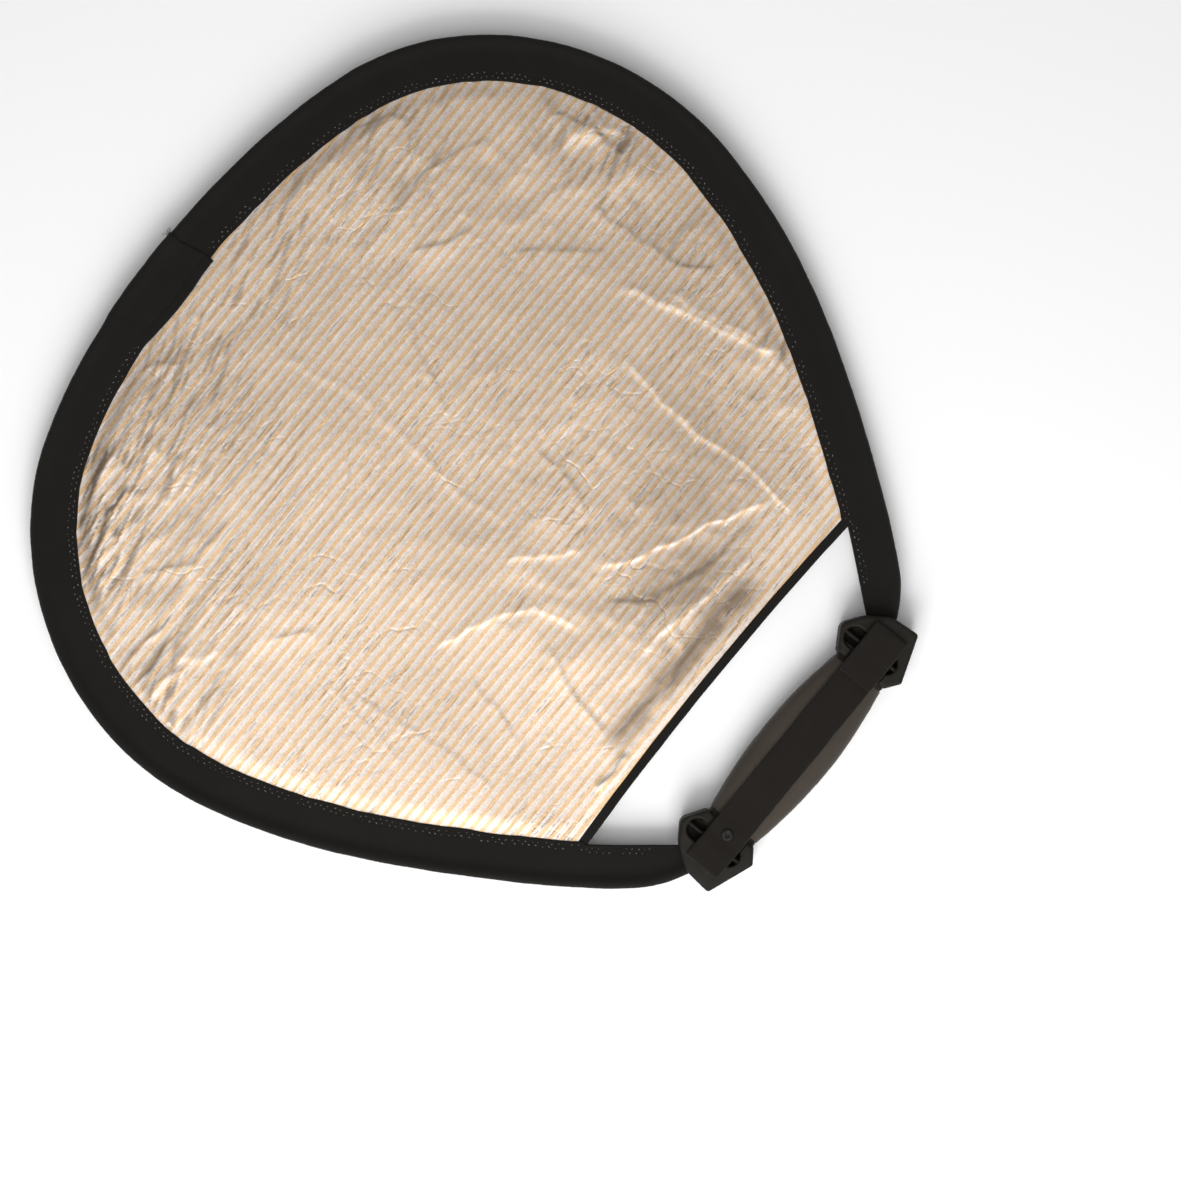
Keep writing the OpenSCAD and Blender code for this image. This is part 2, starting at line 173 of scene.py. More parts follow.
class Shader:
    """A Principled material with short calls for the nodes that feed it."""

    def __init__(self, name, **sockets):
        self.material = bpy.data.materials.new(name)
        self.material.use_nodes = True
        self.tree = self.material.node_tree
        self.bsdf = self.tree.nodes["Principled BSDF"]
        for key, value in sockets.items():
            self.bsdf.inputs[key.replace("_", " ")].default_value = value

    def add(self, kind, *inputs, out=0, named=None, **settings):
        node = self.tree.nodes.new("ShaderNode" + kind)
        for key, value in settings.items():
            setattr(node, key, value)
        sockets = list(zip(range(len(inputs)), inputs)) + list((named or {}).items())
        for key, value in sockets:
            if value is None:
                continue
            if isinstance(value, bpy.types.NodeSocket):
                self.tree.links.new(value, node.inputs[key])
            else:
                node.inputs[key].default_value = value
        return node.outputs[out]

    def math(self, operation, a, b=None, clamp=False):
        return self.add("Math", a, b, operation=operation, use_clamp=clamp)

    def times(self, a, b, clamp=False):
        return self.math("MULTIPLY", a, b, clamp)

    def plus(self, a, b, clamp=False):
        return self.math("ADD", a, b, clamp)

    def place(self):
        """Object coordinates: the row frame, in metres."""
        return self.add("TexCoord", out=3)

    def run(self):
        """The piece's own (along, across, wear), in millimetres; on the panels the third value is
        painted shading.
        """
        return self.add("Attribute", attribute_name="run", out=1)

    def split(self, vector):
        node = self.tree.nodes.new("ShaderNodeSeparateXYZ")
        self.tree.links.new(vector, node.inputs[0])
        return node.outputs

    def noise(self, vector, size, detail=2.0, roughness=0.5):
        """Noise from 0 to 1 with features of about size millimetres (vector in metres)."""
        return self.add("TexNoise", vector, named={
            "Scale": 1 / (size * MM), "Detail": detail, "Roughness": roughness})

    def wave(self, value, period, phase=0.0):
        """Sine of a length with a given period, from -1 to 1."""
        turns = self.math("MULTIPLY_ADD", value, 2 * math.pi / period)
        turns.node.inputs[2].default_value = phase
        return self.math("SINE", turns)

    def ramp(self, value, stops):
        """Colours at given positions, eased between them."""
        node = self.tree.nodes.new("ShaderNodeValToRGB")
        self.tree.links.new(value, node.inputs[0])
        node.color_ramp.interpolation = "EASE"
        elements = node.color_ramp.elements
        while len(elements) < len(stops):
            elements.new(0.5)
        for element, (position, color) in zip(elements, stops):
            element.position = position
            element.color = (*color, 1)
        return node.outputs[0]

    def mix(self, factor, a, b, blend="MIX"):
        node = self.tree.nodes.new("ShaderNodeMix")
        node.data_type = "RGBA"
        node.blend_type = blend
        for key, value in ((0, factor), (6, a), (7, b)):
            if isinstance(value, bpy.types.NodeSocket):
                self.tree.links.new(value, node.inputs[key])
            else:
                node.inputs[key].default_value = value if key == 0 else (*value, 1)
        return node.outputs[2]

    def span(self, value, low, high):
        """Maps 0..1 to low..high."""
        return self.add("MapRange", value, 0.0, 1.0, low, high)

    def tint(self, color, amount):
        """A colour times a grey value."""
        grey = self.add("CombineColor", amount, amount, amount)
        return self.mix(1.0, color, grey, blend="MULTIPLY")

    def base(self, color):
        self.tree.links.new(color, self.bsdf.inputs["Base Color"])

    def rough(self, value):
        self.tree.links.new(value, self.bsdf.inputs["Roughness"])

    def bump(self, height, depth):
        """Bump whose height input of 1 stands depth millimetres high."""
        node = self.tree.nodes.new("ShaderNodeBump")
        node.inputs["Distance"].default_value = depth * MM
        self.tree.links.new(height, node.inputs["Height"])
        self.tree.links.new(node.outputs[0], self.bsdf.inputs["Normal"])


def fabric_shader(name, dark, light, weave, sheen=0.05, depth=0.12):
    """Woven tape: threads cross the run at a weave pitch in millimetres."""
    roughness = 0.85
    s = Shader(name, Roughness=roughness, Sheen_Weight=sheen, Sheen_Roughness=0.45,
               Specular_IOR_Level=0.15)
    along, across, wear = s.split(s.run())
    lean = s.math("MULTIPLY_ADD", across, 1.0)
    s.tree.links.new(along, lean.node.inputs[2])
    warp = s.wave(lean, weave)
    weft = s.wave(across, weave * 0.9)
    threads = s.span(s.times(warp, weft), 0.0, 1.0)
    threads.node.inputs[1].default_value = -1.0
    place = s.place()
    patches = s.noise(place, 22, 3.0)
    fluff = s.noise(place, 0.7, 3.0, 0.7)
    blend = s.plus(s.times(threads, 0.3), s.times(patches, 0.5))
    blend = s.plus(blend, s.times(wear, 0.45), clamp=True)
    s.base(s.mix(blend, dark, light))
    s.rough(s.span(fluff, roughness - 0.12, roughness + 0.12))
    height = s.plus(threads, s.times(fluff, 0.5))
    s.bump(height, depth)
    return s.material


def crackle(s, place, size, width):
    """Fine crease lines between crumpled facets: 0 on a line, 1 a width away from it."""
    shift = s.add("VectorMath", s.add("TexNoise", place, out=1, named={
        "Scale": 1 / (0.6 * size * MM), "Detail": 2.0}), (0.5 * size * MM,) * 3,
        operation="MULTIPLY")
    moved = s.add("VectorMath", place, shift, operation="ADD")
    cells = s.add("TexVoronoi", moved, feature="DISTANCE_TO_EDGE", named={
        "Scale": 1 / (size * MM)})
    return s.times(cells, size / width, clamp=True)


def crease_shade_and_highlight(s):
    """How much painted shade and painted highlight the creases put on the film here, each 0 to 1."""
    tone = s.split(s.run())[2]
    dark = s.math("MULTIPLY_ADD", tone, -2.0, clamp=True)
    dark.node.inputs[2].default_value = 1.0
    pale = s.math("MULTIPLY_ADD", tone, 2.0, clamp=True)
    pale.node.inputs[2].default_value = -1.0
    return dark, pale


def rib_shade_lines(s, place):
    """Long fine dark lines painted along the ribs past the lap, as the ribs' shade where the light
    grazes them.
    """
    along, across = s.split(s.run())[:2]
    centre_x, centre_y, reach = RIB_SHADE_PART
    dx = s.math("SUBTRACT", along, centre_x)
    dy = s.math("SUBTRACT", across, centre_y)
    far = s.math("SQRT", s.plus(s.times(dx, dx), s.times(dy, dy)))
    near = s.ramp(s.math("DIVIDE", far, reach), [(0.3, (1, 1, 1)), (1.0, (0, 0, 0))])
    lines = s.noise(s.add("Mapping", place, named={"Scale": (0.045, 1.0, 1.0)}), 1.7, 3.0, 0.6)
    return s.times(near, s.ramp(lines, [(0.38, (1, 1, 1)), (0.47, (0, 0, 0))]))


def gold_shader():
    """Metallised film with printed gold lines across it, crease lines, painted shade and painted
    highlight along the creases, and a fine grain.
    """
    s = Shader("gold_stripes", Metallic=0.72, Roughness=0.40)
    place = s.place()
    y = s.split(place)[1]
    drift = s.times(s.noise(place, 60, 3.0), 0.9 * MM)
    jitter = s.times(s.noise(place, 2.2, 3.0, 0.7), 1.1 * MM)
    line_y = s.plus(s.plus(y, drift), jitter)
    turn = s.math("FRACT", s.math("DIVIDE", line_y, STRIPE_PITCH * MM))
    silver = (0.745, 0.655, 0.59)
    pale = (0.81, 0.715, 0.645)
    gold = (0.775, 0.53, 0.30)
    deep = (0.63, 0.42, 0.225)
    stripes = s.ramp(turn, [(0.0, silver), (0.20, pale), (0.38, silver), (0.49, deep),
                            (0.56, gold), (0.74, gold), (0.90, silver), (1.0, silver)])
    second = s.math("FRACT", s.math("DIVIDE", line_y, STRIPE_PITCH * MM / 2))
    faint = s.ramp(second, [(0.0, (1, 1, 1)), (0.4, (0.955, 0.93, 0.90)), (0.8, (1, 1, 1))])
    stripes = s.mix(1.0, stripes, faint, blend="MULTIPLY")
    grain = s.noise(place, 0.9, 3.0, 0.75)
    fleck = s.noise(place, 2.6, 4.0, 0.7)
    cloud = s.noise(place, 70, 3.0)
    # short dark dashes painted where the film has creased along the ribs, as the shade in those
    # creases; they also sink the bump
    stretch = s.add("Mapping", place, named={"Scale": (0.11, 1.0, 1.0)})
    dashes = s.noise(stretch, 1.5, 4.0, 0.65)
    patches = s.noise(place, 48, 2.0)
    dash = s.times(s.ramp(dashes, [(0.34, (1, 1, 1)), (0.42, (0, 0, 0))]),
                   s.ramp(patches, [(0.40, (0.25,) * 3), (0.62, (1, 1, 1))]))
    tone = s.times(s.span(grain, 0.52, 1.40), s.span(fleck, 0.82, 1.12))
    tone = s.times(tone, s.span(cloud, 0.94, 1.06))
    tone = s.times(tone, s.span(dash, 1.0, 0.62))
    # the fine dark rib lines are painted shade
    tone = s.times(tone, s.span(rib_shade_lines(s, place), 1.0, 0.74))
    # painted shade and painted highlight of the creases: the film is mixed towards a dark colour where
    # shade is painted and towards a pale one where highlight is painted
    dark, crease_highlight = crease_shade_and_highlight(s)
    film = s.mix(s.times(dark, 0.85), s.tint(stripes, tone), (0.17, 0.125, 0.085))
    s.base(s.mix(s.times(crease_highlight, 0.42), film, (0.93, 0.86, 0.80)))
    s.rough(s.span(fleck, 0.32, 0.50))
    lines = s.times(crackle(s, place, 30, 1.0),
                    s.ramp(s.noise(place, 30, 2.0), [(0.45, (0, 0, 0)), (0.7, (0.8,) * 3)]))
    small = s.times(crackle(s, place, 12, 0.8),
                    s.ramp(patches, [(0.52, (0, 0, 0)), (0.7, (0.45,) * 3)]))
    height = s.plus(s.times(grain, 0.4), s.times(fleck, 0.8))
    height = s.plus(height, s.plus(lines, small))
    height = s.math("SUBTRACT", height, s.times(dash, 0.7))
    s.bump(height, 0.11)
    return s.material


def silver_shader():
    """Ribbed silver film: ridges painted pale as highlight and grooves painted dark as shade, painted
    shade and highlight along creases, and a fine grain.
    """
    s = Shader("silver_ribs", Metallic=0.7, Roughness=0.38)
    place = s.place()
    y = s.split(place)[1]
    jitter = s.times(s.noise(place, 4.0, 2.0), 0.35 * MM)
    line_y = s.plus(y, jitter)
    turn = s.math("FRACT", s.math("DIVIDE", line_y, RIB_PITCH * MM))
    # rib colours: the ridges are painted pale as highlight and the grooves near black as shade
    ribs = s.ramp(turn, [(0.0, (0.74, 0.71, 0.70)), (0.30, (0.80, 0.775, 0.765)),
                         (0.55, (0.66, 0.63, 0.62)), (0.72, (0.20, 0.18, 0.175)),
                         (0.82, (0.22, 0.20, 0.195)), (1.0, (0.70, 0.67, 0.66))])
    plain = (0.72, 0.70, 0.69)
    # in broad patches the painted rib highlight and shade fade towards a plain colour
    patches = s.ramp(s.noise(place, 85, 3.0), [(0.40, (0, 0, 0)), (0.60, (1, 1, 1))])
    worn = s.times(patches, 0.45)
    color = s.mix(worn, ribs, plain)
    grain = s.noise(place, 0.9, 3.0, 0.75)
    fleck = s.noise(place, 2.6, 4.0, 0.7)
    tone = s.times(s.span(grain, 0.78, 1.20), s.span(fleck, 0.93, 1.07))
    # painted shade and painted highlight of the creases: the film is mixed towards a dark colour where
    # shade is painted and towards a pale one where highlight is painted
    dark, crease_highlight = crease_shade_and_highlight(s)
    film = s.mix(s.times(dark, 0.8), s.tint(color, tone), (0.13, 0.12, 0.115))
    s.base(s.mix(s.times(crease_highlight, 0.6), film, (0.92, 0.90, 0.89)))
    s.rough(s.span(fleck, 0.30, 0.46))
    s.bump(s.plus(s.times(grain, 0.5), fleck), 0.07)
    return s.material


def plastic_shader():
    """Dark moulded plastic, finely textured, polished a little on worn edges."""
    s = Shader("cap_plastic", Roughness=0.55, Specular_IOR_Level=0.08)
    place = s.place()
    wear = s.split(s.run())[2]
    sand = s.noise(place, 0.45, 2.0, 0.6)
    cloud = s.noise(place, 14, 3.0)
    rub = s.times(wear, s.span(s.noise(place, 5, 3.0), 0.3, 1.0), clamp=True)
    color = s.mix(cloud, (0.0070, 0.0056, 0.0040), (0.0120, 0.0100, 0.0075))
    s.base(s.mix(s.times(rub, 0.35), color, (0.045, 0.042, 0.037)))
    s.rough(s.math("SUBTRACT", s.span(sand, 0.50, 0.66), s.times(rub, 0.12)))
    s.bump(sand, 0.05)
    return s.material


def foam_shader():
    """Soft closed-cell foam with a fabric skin."""
    s = Shader("grip_foam", Roughness=0.75, Sheen_Weight=0.12, Sheen_Roughness=0.5,
               Specular_IOR_Level=0.15)
    place = s.place()
    skin = s.noise(place, 0.55, 3.0, 0.7)
    cells = s.add("TexVoronoi", place, named={"Scale": 1 / (0.9 * MM)}, feature="F1")
    cloud = s.noise(place, 18, 3.0)
    s.base(s.tint(s.mix(cloud, (0.039, 0.031, 0.024), (0.056, 0.046, 0.036)),
                  s.span(skin, 0.88, 1.12)))
    s.rough(s.span(cloud, 0.62, 0.82))
    s.bump(s.plus(skin, s.times(cells, 0.6)), 0.09)
    return s.material


def metal_shader(name, color, roughness, grind=(1, 1, 12)):
    """Steel with a fine drawn grain and slight staining."""
    s = Shader(name, Metallic=1.0, Roughness=roughness)
    stretch = s.add("Mapping", s.place(), named={"Scale": grind})
    lines = s.noise(stretch, 0.8, 3.0, 0.6)
    stain = s.noise(s.place(), 6, 3.0)
    s.base(s.tint(s.mix(stain, color, [c * 0.8 for c in color]), s.span(lines, 0.85, 1.1)))
    s.rough(s.span(lines, roughness - 0.08, roughness + 0.14))
    s.bump(lines, 0.02)
    return s.material


def core_shader():
    """Dull grey polymer with faint flow marks."""
    s = Shader("core_polymer", Roughness=0.55)
    place = s.place()
    flow = s.noise(place, 3.5, 3.0)
    s.base(s.mix(flow, (0.07, 0.07, 0.072), (0.11, 0.11, 0.112)))
    s.rough(s.span(s.noise(place, 0.8, 2.0), 0.45, 0.65))
    s.bump(flow, 0.03)
    return s.material


def rivet_shader():
    """Black painted rivet, paint rubbed thin on its crown."""
    s = Shader("rivet_paint", Roughness=0.5, Specular_IOR_Level=0.12)
    place = s.place()
    wear = s.split(s.run())[2]
    spots = s.noise(place, 1.1, 4.0, 0.7)
    rub = s.times(wear, s.ramp(spots, [(0.42, (0, 0, 0)), (0.6, (1, 1, 1))]))
    s.base(s.mix(rub, (0.009, 0.0085, 0.0075), (0.030, 0.028, 0.025)))
    s.rough(s.span(spots, 0.42, 0.6))
    s.bump(spots, 0.03)
    return s.material


def thread_shader():
    """Pale thread; each stitch has its own brightness."""
    s = Shader("stitch_thread", Roughness=0.6, Sheen_Weight=0.2)
    along, across, wear = s.split(s.run())
    twist = s.wave(s.plus(along, across), 0.35)
    shade = s.math("MULTIPLY_ADD", twist, 0.12)
    s.tree.links.new(wear, shade.node.inputs[2])
    s.base(s.mix(s.plus(shade, 0.0, clamp=True), (0.018, 0.017, 0.014), (0.20, 0.19, 0.175)))
    s.bump(twist, 0.05)
    return s.material


def label_shader():
    """White woven satin label with a narrow woven border and two plain bars."""
    s = Shader("label_satin", Roughness=0.42, Sheen_Weight=0.2)
    along, across, wear = s.split(s.run())
    satin = s.wave(along, 0.42)
    weft = s.wave(across, 0.55)
    threads = s.times(satin, weft)
    place = s.place()
    cloud = s.noise(place, 9, 3.0)
    white = s.mix(cloud, (0.78, 0.755, 0.74), (0.86, 0.84, 0.83))
    violet = (0.24, 0.20, 0.40)
    s.base(s.tint(s.mix(wear, white, violet), s.span(threads, 0.94, 1.0)))
    s.rough(s.span(threads, 0.36, 0.5))
    s.bump(threads, 0.05)
    return s.material


def hook_shader():
    """Black nylon of the hook field."""
    s = Shader("hook_nylon", Roughness=0.4)
    place = s.place()
    cloud = s.noise(place, 2.0, 3.0)
    s.base(s.mix(cloud, (0.012, 0.012, 0.012), (0.035, 0.034, 0.033)))
    s.rough(s.span(cloud, 0.32, 0.5))
    s.bump(s.noise(place, 0.5, 2.0), 0.04)
    return s.material


STRIPE_PITCH = 5.03
RIB_PITCH = 3.17
RIB_SHADE_PART = (-100.0, 338.0, 120.0)       # centre x, centre y and reach of the fine dark lines

GOLD = gold_shader()
SILVER = silver_shader()
PLASTIC = plastic_shader()
FOAM = foam_shader()
RIVET = rivet_shader()
THREAD = thread_shader()
LABEL = label_shader()
HOOKS = hook_shader()
CORE = core_shader()
STEEL = metal_shader("spring_steel", (0.42, 0.43, 0.45), 0.34, (1, 1, 20))
BLACKED = metal_shader("blackened_bars", (0.020, 0.018, 0.016), 0.55, (8, 1, 8))
FITTING = metal_shader("plated_fittings", (0.60, 0.60, 0.59), 0.30, (8, 1, 8))
BINDING = fabric_shader("binding_tape", (0.0060, 0.0056, 0.0046), (0.0135, 0.0122, 0.0098), 0.8)
TAPE = fabric_shader("edge_tape_weave", (0.0055, 0.0052, 0.0044), (0.017, 0.0155, 0.013), 1.1,
                     depth=0.2)
WEBBING = fabric_shader("strap_webbing", (0.0075, 0.0060, 0.0048), (0.0175, 0.0145, 0.0120), 1.3,
                        sheen=0.08, depth=0.16)
LOOPS = fabric_shader("loop_pile", (0.009, 0.009, 0.009), (0.04, 0.038, 0.036), 0.6, sheen=0.4,
                      depth=0.35)

# ---------------------------------------------------------------- outline of the disc

SIDE_TANGENT = 13.8
CORNER_R = 0.3365 * RIM_W
TOP_R = 0.87 * RIM_W
SIDE_R = 1.073 * RIM_W
TAIL_R = 70.0
TAIL_FROM, TAIL_TO = -42.5, -70.5
TAIL_Y = 65.0


def outline_arcs():
    """Arcs of the right half, clockwise from the far edge: centre, radius, start, end."""
    cos, sin = (lambda a: math.cos(math.radians(a))), (lambda a: math.sin(math.radians(a)))
    corner_x = RIM_W / 2 - CORNER_R
    half = math.degrees(math.asin(corner_x / (TOP_R - CORNER_R)))
    side_x = corner_x - (SIDE_R - CORNER_R) * cos(SIDE_TANGENT)
    tail_x = side_x + (SIDE_R - TAIL_R) * cos(TAIL_FROM)
    side_y = TAIL_Y - (SIDE_R - TAIL_R) * sin(TAIL_FROM)
    corner_y = side_y - (SIDE_R - CORNER_R) * sin(SIDE_TANGENT)
    top_y = corner_y - (TOP_R - CORNER_R) * cos(half)
    return [(0.0, top_y, TOP_R, 90.0, 90 - half),
            (corner_x, corner_y, CORNER_R, 90 - half, -SIDE_TANGENT),
            (side_x, side_y, SIDE_R, -SIDE_TANGENT, TAIL_FROM),
            (tail_x, TAIL_Y, TAIL_R, TAIL_FROM, TAIL_TO)]


ARCS = outline_arcs()
ARC_LENGTHS = [math.radians(a[3] - a[4]) * a[2] for a in ARCS]
HALF_LENGTH = sum(ARC_LENGTHS)


def unevenness(s):
    """How far the sewn hoop stands outside the plain outline, as a shallow wave along it."""
    wave = 255.0
    swell = 1.1 + 0.6 * smooth((np.abs(s) - 250) / 150)
    offset = 0.35 - swell * np.cos(2 * np.pi * s / wave) - 0.5 * np.sin(2 * np.pi * s / wave)
    return offset * (1 - smooth((np.abs(s) - 575) / 40))


def edge_at(s):
    """Outer edge at a distance s from the far middle (left is negative): points, outward normals."""
    s = np.asarray(s, float)
    side = np.where(s < 0, -1.0, 1.0)
    left = np.abs(s)
    angle = np.zeros_like(left)
    centre = np.zeros((len(left), 2))
    radius = np.zeros_like(left)
    start = 0.0
    for (cx, cy, r, a0, _), length in zip(ARCS, ARC_LENGTHS):
        here = left >= start - 1e-9
        angle[here] = np.radians(a0) - (left[here] - start) / r
        centre[here] = (cx, cy)
        radius[here] = r
        start += length
    normal = np.stack([np.cos(angle) * side, np.sin(angle)], axis=1)
    points = np.stack([centre[:, 0] * side, centre[:, 1]], axis=1) + normal * radius[:, None]
    return points + normal * unevenness(s)[:, None], normal


# ---------------------------------------------------------------- binding

BINDING_W = 24.5
TRIM_FROM, TRIM_TO = np.array([106.0, 50.0]), np.array([75.5, 12.5])


def binding_width(s, points, normals):
    """Width of the binding, which narrows along a straight line towards the cap."""
    way = (TRIM_TO - TRIM_FROM) / np.linalg.norm(TRIM_TO - TRIM_FROM)
    inward = np.array([way[1], -way[0]])
    side = np.where(s < 0, -1.0, 1.0)
    mirrored = points * np.stack([side, np.ones_like(side)], axis=1)
    toward = -normals * np.stack([side, np.ones_like(side)], axis=1)
    reach = ((TRIM_FROM - mirrored) @ inward) / (toward @ inward)
    past = (mirrored + toward * reach[:, None] - TRIM_FROM) @ way
    soft, about = 0.8, 20.0      # how gently the two widths blend, and where they do
    limit = np.where((past > -6) & (toward @ inward > 0.2), reach + 0.02 * (6 - past).clip(0), 99.0)
    plain = BINDING_W + 0.35 * noise(s, s * 0, 19, 5) + 0.25 * noise(s, s * 0, 7, 6)
    blend = np.exp(-(plain - about) / soft) + np.exp(-(limit - about) / soft)
    return -soft * np.log(blend) + about


# upper half of the section: distance inward from the edge, height
SECTION = [(0.0, 0.0), (0.15, 1.3), (0.55, 2.5), (1.3, 3.35), (2.4, 3.75), (3.6, 3.62),
           (4.8, 3.05), (6.2, 2.2), (7.6, 1.6), (9.2, 1.34), (11.5, 1.26), (14.0, 1.24),
           (16.5, 1.22), (18.4, 1.20), (19.4, 1.14), (20.1, 1.02), (20.8, 1.14), (21.6, 1.14),
           (22.3, 1.02), (23.0, 1.14), (23.8, 1.14), (24.3, 1.0), (24.5, 0.78), (24.45, 0.55),
           (24.1, 0.44), (21.0, 0.40), (16.0, 0.40)]
FLAT_FROM = 7.6          # where the bead has come down to the flat plies
SLOT_FROM = 22           # index of the first section point on the inner side


def sweep_section(s, grow=0.0, seed=11, groove=None, ends=(0.0, 0.0)):
    """Rings of the binding's section along s; returns verts (n, m, 3) and run (n, m, 3)."""
    points, normals = edge_at(s)
    width = binding_width(s, points, normals)
    upper = np.array(SECTION)
    lower = upper[:0:-1] * [1, -1]
    section = np.concatenate([upper, lower])
    m = len(section)
    depth = section[:, 0]
    flat = np.clip((depth - FLAT_FROM) / (BINDING_W - FLAT_FROM), 0, 1)
    u = np.where(depth[None] > FLAT_FROM,
                 FLAT_FROM + flat[None] * (width[:, None] - FLAT_FROM), depth[None])
    z = np.repeat(section[:, 1][None], len(s), axis=0)
    face = np.sign(section[:, 1])
    outside = np.ones(m)
    outside[SLOT_FROM + 1: m - SLOT_FROM] = 0.0
    ss = np.repeat(s[:, None], m, axis=1)
    both = ss + 4000 * (face[None] < 0)
    pucker = 0.13 * noise(both, u, 3.4, seed) * smooth((u - 10) / 8)
    pucker += 0.30 * noise(both, u, 27, seed + 1) * smooth((u - 5) / 6)
    pucker += 0.10 * noise(both, u, 9, seed + 2)
    tight = smooth(np.abs(BINDING_W - 3.3 - u) / 5)
    z = z + face[None] * outside[None] * pucker * (0.35 + 0.65 * tight)
    fray = 0.09 * noise(ss, z, 1.6, seed + 3) + 0.12 * noise(ss, z * 0, 11, seed + 4)
    out = np.where(u < 4, fray, 0.0)
    if grow:
        z = z + grow * face[None] * outside[None]
        out = out + grow * smooth((3 - u) / 2)
        out = out - np.where(outside[None] > 0, grow * 0.6 * smooth((u - 23.5) / 1.0), 0)
    if groove:
        at, wide, deep = groove
        z = z - face[None] * outside[None] * deep * np.exp(-((u - at) / wide) ** 2)
    xy = points[:, None, :] - normals[:, None, :] * (u - out)[:, :, None]
    verts = np.concatenate([xy, z[:, :, None]], axis=2)
    wear = smooth((3.2 - u) / 3) * 0.5 + 0.25 * smooth((u - 23.4) / 1.2)
    run = np.stack([ss, u * np.sign(z + 1e-9), wear], axis=2)
    return verts, run


def make_binding():
    """Binding folded round the whole edge of the disc."""
    steps = int(2 * HALF_LENGTH / 1.4)
    s = np.linspace(-HALF_LENGTH, HALF_LENGTH, steps)
    verts, run = sweep_section(s)
    n, m, _ = verts.shape
    piece("rim_binding_tape", verts.reshape(-1, 3), tube_faces(n, m), BINDING,
          ["rim_binding"], run=run.reshape(-1, 3))


LAP_FROM, LAP_TO = -60.0, 1.5
LAP_SPREAD = 3.4         # how much further in the lapped end reaches


def make_lap():
    """The end of the binding, which laps over its start and is sewn down along its inner side."""
    s = np.linspace(LAP_FROM, LAP_TO, 56)
    verts, run = sweep_section(s, grow=0.55, seed=31, groove=(19.2, 0.55, 0.5))
    n, m, _ = verts.shape
    fade = smooth((s - LAP_FROM) / 10)[:, None]
    plain, _ = sweep_section(s)
    verts = plain + (verts - plain) * fade[:, :, None] - 0.02 * (1 - fade[:, :, None]) * (
        np.sign(verts) * [0, 0, 1])
    depth = np.abs(run[:, :, 1])
    end = smooth((s - LAP_TO + 12) / 12)[:, None]
    inward = plain[:, :, :2] - plain[:, :1, :2]
    inward /= np.maximum(np.linalg.norm(inward, axis=2, keepdims=True), 1e-9)
    spread = LAP_SPREAD * smooth((s - LAP_FROM) / 30) * (1 - 0.45 * smooth((s - LAP_TO + 22) / 22))
    verts[:, :, :2] += inward * (spread[:, None] * smooth((depth - 8) / 12))[:, :, None]
    verts[:, :, 0] += end * (0.26 * np.clip(depth - 7, 0, 12) + 0.25 * noise(depth, depth * 0, 1.5, 8))
    piece("binding_lap_end", verts.reshape(-1, 3), tube_faces(n, m), BINDING,
          ["binding_lap"], run=run.reshape(-1, 3))


def make_fray():
    """Loose yarns where the lapped end was cut, at the outer edge."""
    rng = np.random.default_rng(77)
    verts, faces, run = [], [], []
    root = edge_at(np.array([LAP_TO]))[0]
    yarns, rings, around = 30, 5, 6
    for _ in range(yarns):
        start = np.array([root[0, 0] - rng.uniform(-0.4, 1.6), root[0, 1] - rng.uniform(0, 1.2),
                          rng.uniform(-2.6, 2.6)])
        lean = rng.uniform(-0.9, 0.9)
        length = rng.uniform(1.0, 3.6)
        radius = rng.uniform(0.08, 0.15)
        first = len(verts)
        for k in range(rings):
            t = k / (rings - 1)
            spine = start + length * np.array([math.sin(lean * (0.4 + t)) * t, t, 0.3 * lean * t * t])
            for j in range(around):
                a = 2 * math.pi * j / around
                r = radius * (1 - 0.6 * t)
                verts.append(spine + r * np.array([math.cos(a), 0, math.sin(a)]))
                run.append((length * t, a, 0.2))
        faces += tube_faces(rings, around, first)
    piece("binding_frayed_yarns", np.array(verts), faces, BINDING, run=np.array(run))


def make_band():
    """The spring band inside the binding, following the sewn hoop."""
    s = np.linspace(-HALF_LENGTH - 12, HALF_LENGTH + 12, 620)
    inner = np.clip(s, -HALF_LENGTH, HALF_LENGTH)
    points, normals = edge_at(inner)
    tangent = np.stack([normals[:, 1], -normals[:, 0]], axis=1)
    points = points + tangent * (s - inner)[:, None]
    half, thick, bevel = 2.95, 0.45, 0.2
    section = [(-thick, -half + bevel), (-thick + bevel, -half), (thick - bevel, -half),
               (thick, -half + bevel), (thick, half - bevel), (thick - bevel, half),
               (-thick + bevel, half), (-thick, half - bevel)]
    middle_in = 1.7
    verts = [[(p[0] - n[0] * (middle_in + a), p[1] - n[1] * (middle_in + a), b)
              for a, b in section] for p, n in zip(points, normals)]
    piece("spring_band_strip", np.array(verts).reshape(-1, 3), tube_faces(len(s), len(section)),
          STEEL, ["spring_band"], sharp_angle=30)


def small_ball(centre, along, up, length, width, height, rings=4, around=7):
    """Points of a little ellipsoid lying along a direction, and its faces from index 0."""
    across = np.cross(up, along)
    points = []
    for k in range(rings):
        lat = math.pi * (k + 0.5) / rings
        for j in range(around):
            a = 2 * math.pi * j / around
            points.append(centre + along * (length * math.cos(lat))
                          + across * (width * math.sin(lat) * math.cos(a))
                          + up * (height * math.sin(lat) * math.sin(a)))
    return points, tube_faces(rings, around)


STITCH_ROWS = [4.3, 2.2]     # distances of the two rows from the binding's inner edge


